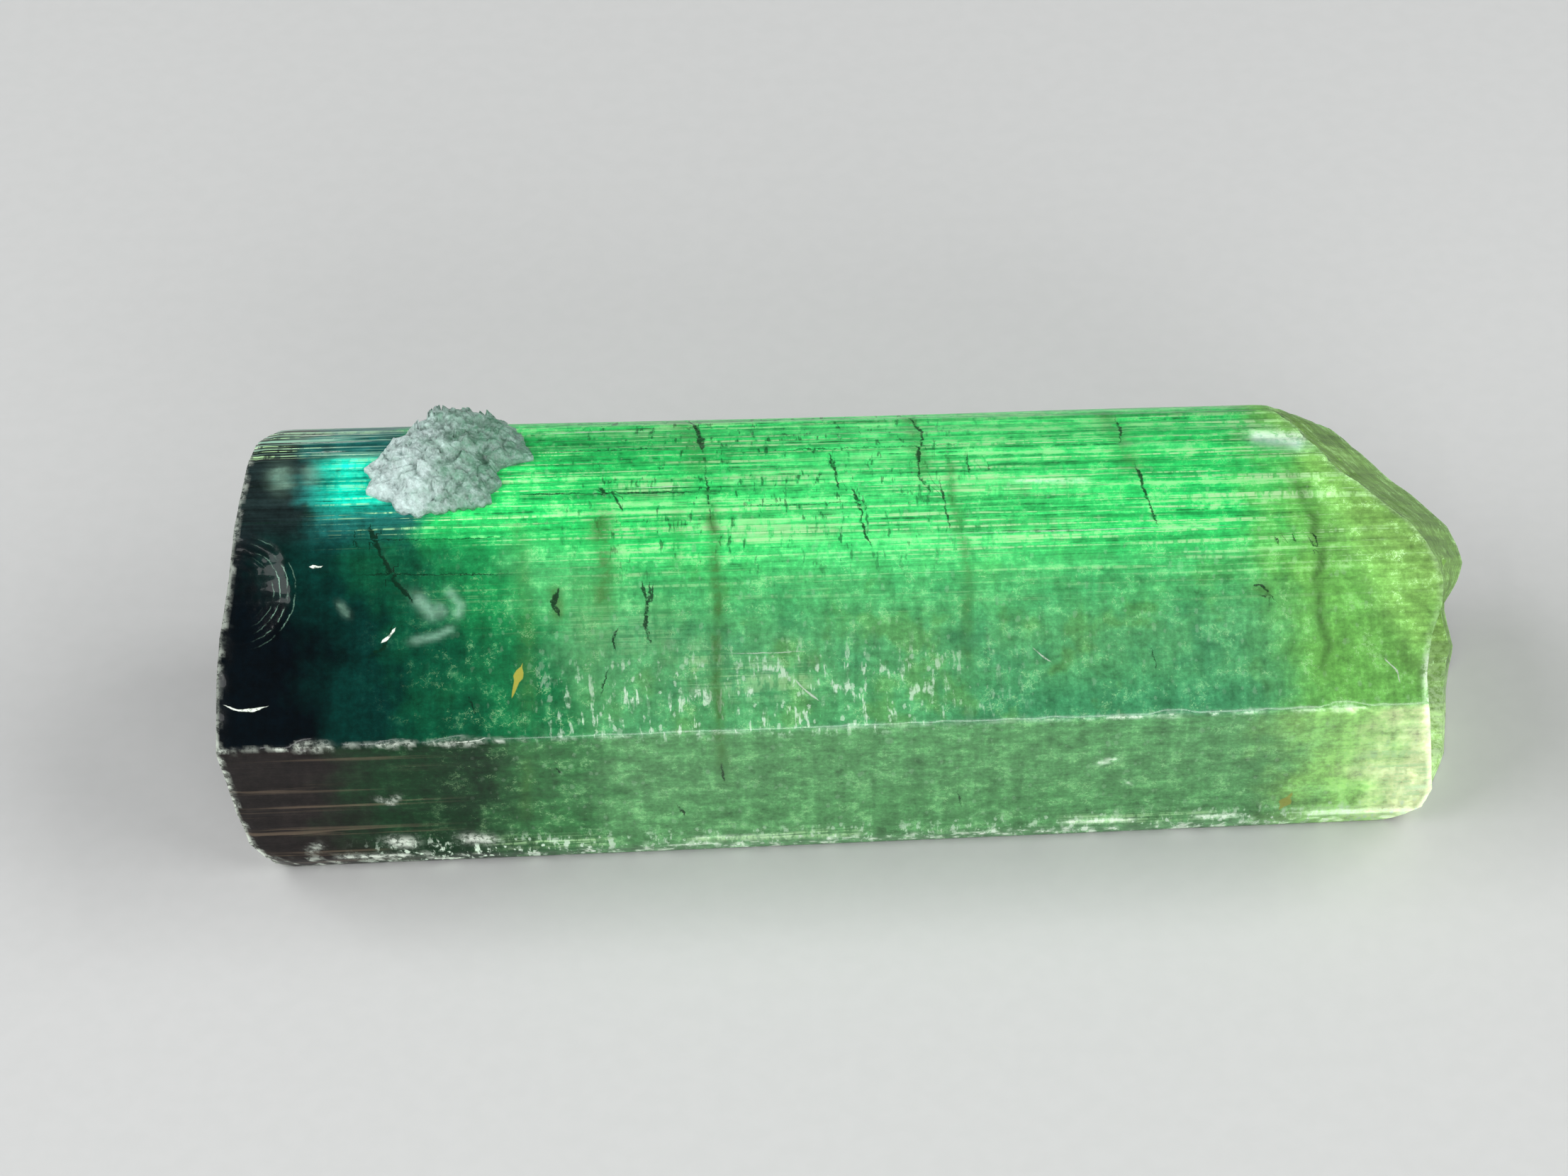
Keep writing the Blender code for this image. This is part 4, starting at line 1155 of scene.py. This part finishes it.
def make_grain(looks):
    """The grain: rings from its middle to its jagged outline, which dips under the crystal's skin."""
    outline = np.array(ALBITE_OUTLINE)
    spokes = outline - ALBITE_MIDDLE
    turn = np.arctan2(spokes[:, 1], spokes[:, 0])
    order = np.argsort(turn)
    radius = np.hypot(*spokes.T)
    angle = np.linspace(-math.pi, math.pi, 300, endpoint=False)
    reach = np.interp(angle, turn[order], radius[order], period=2 * math.pi)
    reach = reach * (1 + 0.05 * lattice_noise(angle * 6, angle * 0, 91) + 0.03 * lattice_noise(angle * 17, angle * 0, 94))
    share = np.linspace(0, 1, 56)[1:]
    r = share[:, None] * reach
    x = ALBITE_MIDDLE[0] + r * np.cos(angle)
    girth = ALBITE_MIDDLE[1] + r * np.sin(angle)
    lift = grain_lift(x, girth, np.broadcast_to(share[:, None], x.shape)) * looks.lumpiness
    wide = len(angle)
    rows = [np.stack([x, girth, lift], -1)]
    for inward, drop in ((1.0, -0.12), (0.9, -0.25), (0.5, -0.25)):
        rows.append(np.stack([
            ALBITE_MIDDLE[0] + (x[-1:] - ALBITE_MIDDLE[0]) * inward,
            ALBITE_MIDDLE[1] + (girth[-1:] - ALBITE_MIDDLE[1]) * inward,
            np.full((1, wide), drop),
        ], -1))
    grid = np.concatenate(rows)
    middle = np.array([*ALBITE_MIDDLE, 0.0])
    lift_there = grain_lift(np.array([middle[0]]), np.array([middle[1]]), np.array([0.0]))[0]
    flat = np.concatenate([grid.reshape(-1, 3), [[middle[0], middle[1], lift_there]], [[middle[0], middle[1], -0.25]]])
    y, z, ny, nz, _ = round_section(flat[:, 1])
    y, z = narrowed(y, z, flat[:, 0])
    points = np.stack([flat[:, 0], y + ny * flat[:, 2], z + nz * flat[:, 2]], 1)
    count = len(grid)
    k = np.arange(wide)
    after = (k + 1) % wide
    ring = np.arange(count)[:, None] * wide + k
    quads = np.stack([ring[:-1], ring[1:], ring[1:][:, after], ring[:-1][:, after]], -1).reshape(-1, 4)
    top = np.stack([np.full(wide, count * wide), ring[0], ring[0][after]], -1)
    under = np.stack([ring[-1], np.full(wide, count * wide + 1), ring[-1][after]], -1)
    shift = GRAIN_SHIFT
    corners = np.concatenate([quads.ravel(), top.ravel(), under.ravel()])
    counts = np.concatenate([np.full(len(quads), 4), np.full(2 * wide, 3)])
    made = mesh_piece("albite", points + shift, corners, counts, {}, {}, albite_finish(looks), GRAIN_NODE)
    return made


GRAIN_SHIFT = np.array([0.04, 0.08, 0.0])


def colour_prop(name, description, red, green, blue):
    return bpy.props.FloatVectorProperty(
        name=name, description=description, subtype="COLOR", default=linear(red, green, blue)
    )


class CrystalLooks(bpy.types.PropertyGroup):
    """Colours and finish of the crystal."""

    night: colour_prop("Night", "The main face at the dark end", 1, 7, 12)
    deep_teal: colour_prop("Deep teal", "Next to the dark end", 2, 42, 36)
    pine: colour_prop("Pine", "Further along the main face", 6, 74, 48)
    bottle: colour_prop("Bottle green", "Where the dark end clears", 20, 114, 66)
    leaf: colour_prop("Leaf green", "The middle of the main face", 102, 194, 126)
    lime: colour_prop("Lime", "Before the termination", 134, 218, 104)
    straw: colour_prop("Straw", "Before the termination", 110, 150, 76)
    honey: colour_prop("Honey", "The termination's face", 104, 148, 62)
    smoke: colour_prop("Smoke", "The front face at the dark end", 28, 23, 22)
    moss: colour_prop("Moss", "The front face next to the dark end", 16, 54, 28)
    umber: colour_prop("Umber", "Fine lines on the front face at the dark end", 138, 120, 100)
    fern: colour_prop("Fern", "The front face where it clears", 62, 132, 74)
    sage: colour_prop("Sage", "The middle of the front face", 112, 186, 118)
    pale_lime: colour_prop("Pale lime", "The front face before the termination", 170, 236, 128)
    cream: colour_prop("Cream", "The front face at the termination", 240, 255, 190)
    slate: colour_prop("Slate", "The upper faces at the dark end", 22, 34, 34)
    lagoon: colour_prop("Lagoon", "The upper faces next to the dark end", 30, 104, 98)
    # Painted glow beside the grain, not a colour of the stone
    teal: colour_prop("Teal", "The upper faces beside the grain", 0, 204, 170)
    # Emerald and spring green: the crown's colour, painted brighter as a glow of light through it
    emerald: colour_prop("Emerald", "The upper faces", 48, 240, 120)
    spring: colour_prop("Spring green", "The upper faces' middle", 78, 255, 138)
    jade: colour_prop("Jade", "Cooler places on the main face", 66, 158, 112)
    olive: colour_prop("Olive", "Warmer places on the main face", 112, 176, 96)
    # Painted highlights: glints off lines and patches
    glint: colour_prop("Glint", "Bright lines", 206, 255, 188)
    # Painted sparks of light
    painted_spark: colour_prop("Spark", "Small sparks", 232, 255, 232)
    veil: colour_prop("Veil", "Soft bands inside", 70, 112, 52)
    # Milky patches; also used for painted reflections at the dark end's top and painted glints on the scar's rings
    haze: colour_prop("Haze", "Milky patches", 148, 192, 168)
    shade: colour_prop("Fracture", "Fractures at the surface", 5, 34, 20)
    # Broken and frosted places, and painted glints
    frost_and_glint: colour_prop("Frost", "Broken and frosted places", 222, 232, 218)
    fleck: colour_prop("Fleck", "Warm flecks", 184, 172, 66)
    roughness: bpy.props.FloatProperty(name="Roughness", description="Of the plain faces", default=0.29, min=0, max=1)
    clearness: bpy.props.FloatProperty(name="Clearness", description="How much light goes through", default=0.55, min=0, max=1)
    polish: bpy.props.FloatProperty(name="Polish", description="Gloss over the faces", default=0.16, min=0, max=1)
    refraction: bpy.props.FloatProperty(name="Refraction", description="Refractive index", default=1.63, min=1, max=3)
    line_depth: bpy.props.FloatProperty(name="Line depth", description="Depth of the growth lines, as a share", default=1.0, min=0, max=2)


class GrainLooks(bpy.types.PropertyGroup):
    """Colours and finish of the albite grain."""

    white: colour_prop("White", "Its sugary grains", 178, 198, 194)
    shade: colour_prop("Shade", "Its clearer, greenish parts", 84, 130, 106)
    lumpiness: bpy.props.FloatProperty(name="Height", description="Height of the grain, as a share", default=1.0, min=0.2, max=1.2)


class StudioLooks(bpy.types.PropertyGroup):
    """The studio."""

    floor: colour_prop("Floor", "Its colour", 178, 179, 178)
    light: bpy.props.FloatProperty(name="Light", description="Strength of the lamps, as a share", default=1.0, min=0, max=5)


class MakeTourmaline(bpy.types.Operator):
    """Make the tourmaline crystal"""

    bl_idname = "scene.make_tourmaline"
    bl_label = "Tourmaline"

    def execute(self, context):
        make_crystal(context.scene.crystal_looks)
        return {"FINISHED"}


class MakeAlbite(bpy.types.Operator):
    """Make the albite grain"""

    bl_idname = "scene.make_albite"
    bl_label = "Albite grain"

    def execute(self, context):
        make_grain(context.scene.grain_looks)
        return {"FINISHED"}


TARGET = Vector((-0.9, 0.625, 4.281)) * MM
CAMERA_DISTANCE = 158.5 * MM
CAMERA_ROLL = math.radians(2.2)
PICTURE_WIDTH = 2212
TARGET_OFF_CENTRE = (77.0, 66.5)  # how far right of and below the picture's middle, in its pixels


def soft_lamp(name, azimuth, elevation, distance, size, power, looks):
    """An area lamp that looks at the crystal from a bearing given in degrees, 0 in front."""
    a, e = math.radians(azimuth), math.radians(elevation)
    way = Vector((math.sin(a) * math.cos(e), -math.cos(a) * math.cos(e), math.sin(e)))
    data = bpy.data.lights.new(name, "AREA")
    data.shape = "RECTANGLE"
    data.size, data.size_y = size
    data.energy = power * looks.light
    lamp = bpy.data.objects.new(name, data)
    lamp.location = way * distance
    lamp.rotation_euler = way.to_track_quat("Z", "Y").to_euler()
    lamp.visible_camera = False
    bpy.context.scene.collection.objects.link(lamp)
    return lamp


def make_studio(looks):
    """A pale floor, soft lamps, an even sky and the camera."""
    scene = bpy.context.scene
    scene.view_settings.view_transform = "Standard"
    mesh = bpy.data.meshes.new("floor")
    half, level = 3.0, -0.02 * MM
    mesh.from_pydata([(-half, -half, level), (half, -half, level), (half, half, level), (-half, half, level)], [], [(0, 1, 2, 3)])
    floor = bpy.data.objects.new("floor", mesh)
    scene.collection.objects.link(floor)
    make = Finish("floor")
    x, y, z = make.place()
    paper = make.noise(make.point(x, y, z), 1.2, 3, 0.5)
    tone = make.blend(make.span(paper, 0.3, 0.7, 0.0, 0.06), looks.floor, (0.6, 0.6, 0.6))
    mesh.materials.append(make.done(Base_Color=tone, Roughness=0.7))

    soft_lamp("lamp_left", -64, 34, 0.42, (0.28, 0.28), 1.28, looks)
    soft_lamp("lamp_right", 66, 32, 0.42, (0.28, 0.28), 1.08, looks)
    soft_lamp("lamp_left_back", -106, 46, 0.42, (0.20, 0.20), 0.70, looks)
    soft_lamp("lamp_right_back", 106, 46, 0.42, (0.20, 0.20), 0.64, looks)
    soft_lamp("lamp_front", 12, 20, 0.45, (0.30, 0.12), 1.22, looks)
    world = bpy.data.worlds.new("sky")
    world.use_nodes = True
    world.node_tree.nodes["Background"].inputs[0].default_value = (0.93, 0.96, 1.0, 1)
    world.node_tree.nodes["Background"].inputs[1].default_value = 0.15
    scene.world = world

    data = bpy.data.cameras.new("camera")
    data.lens, data.sensor_width = 100, 36
    data.shift_x = -TARGET_OFF_CENTRE[0] / PICTURE_WIDTH
    data.shift_y = TARGET_OFF_CENTRE[1] / PICTURE_WIDTH
    data.clip_start, data.clip_end = 0.005, 20
    camera = bpy.data.objects.new("camera", data)
    across, up = Vector((1, 0, 0)), Vector((0, math.sin(LEAN), math.cos(LEAN)))
    right = across * math.cos(CAMERA_ROLL) - up * math.sin(CAMERA_ROLL)
    top = across * math.sin(CAMERA_ROLL) + up * math.cos(CAMERA_ROLL)
    back = right.cross(top)
    turned = Matrix((right, top, back)).transposed().to_4x4()
    camera.matrix_world = Matrix.Translation(TARGET + back * CAMERA_DISTANCE) @ turned
    scene.collection.objects.link(camera)
    scene.camera = camera


class MakeStudio(bpy.types.Operator):
    """Make the floor, the lamps and the camera"""

    bl_idname = "scene.make_studio"
    bl_label = "Studio"

    def execute(self, context):
        make_studio(context.scene.studio_looks)
        return {"FINISHED"}


class TourmalinePanel(bpy.types.Panel):
    """The crystal's pieces and their looks"""

    bl_idname = "VIEW3D_PT_tourmaline"
    bl_label = "Tourmaline crystal"
    bl_space_type = "VIEW_3D"
    bl_region_type = "UI"
    bl_category = "Tourmaline"

    def draw(self, context):
        for operator, looks in ((MakeTourmaline, "crystal_looks"), (MakeAlbite, "grain_looks"), (MakeStudio, "studio_looks")):
            self.layout.operator(operator.bl_idname)
            group = getattr(context.scene, looks)
            for name in group.bl_rna.properties.keys():
                if name not in ("rna_type", "name"):
                    self.layout.prop(group, name)


LOOKS = {"crystal_looks": CrystalLooks, "grain_looks": GrainLooks, "studio_looks": StudioLooks}
OPERATORS = (MakeTourmaline, MakeAlbite, MakeStudio)


def register():
    for made in (*LOOKS.values(), *OPERATORS, TourmalinePanel):
        bpy.utils.register_class(made)
    for name, group in LOOKS.items():
        setattr(bpy.types.Scene, name, bpy.props.PointerProperty(type=group))


def unregister():
    for name in LOOKS:
        delattr(bpy.types.Scene, name)
    for made in (TourmalinePanel, *OPERATORS, *LOOKS.values()):
        bpy.utils.unregister_class(made)


def main():
    register()
    bpy.ops.scene.make_tourmaline()
    bpy.ops.scene.make_albite()
    bpy.ops.scene.make_studio()


if __name__ == "__main__":
    main()
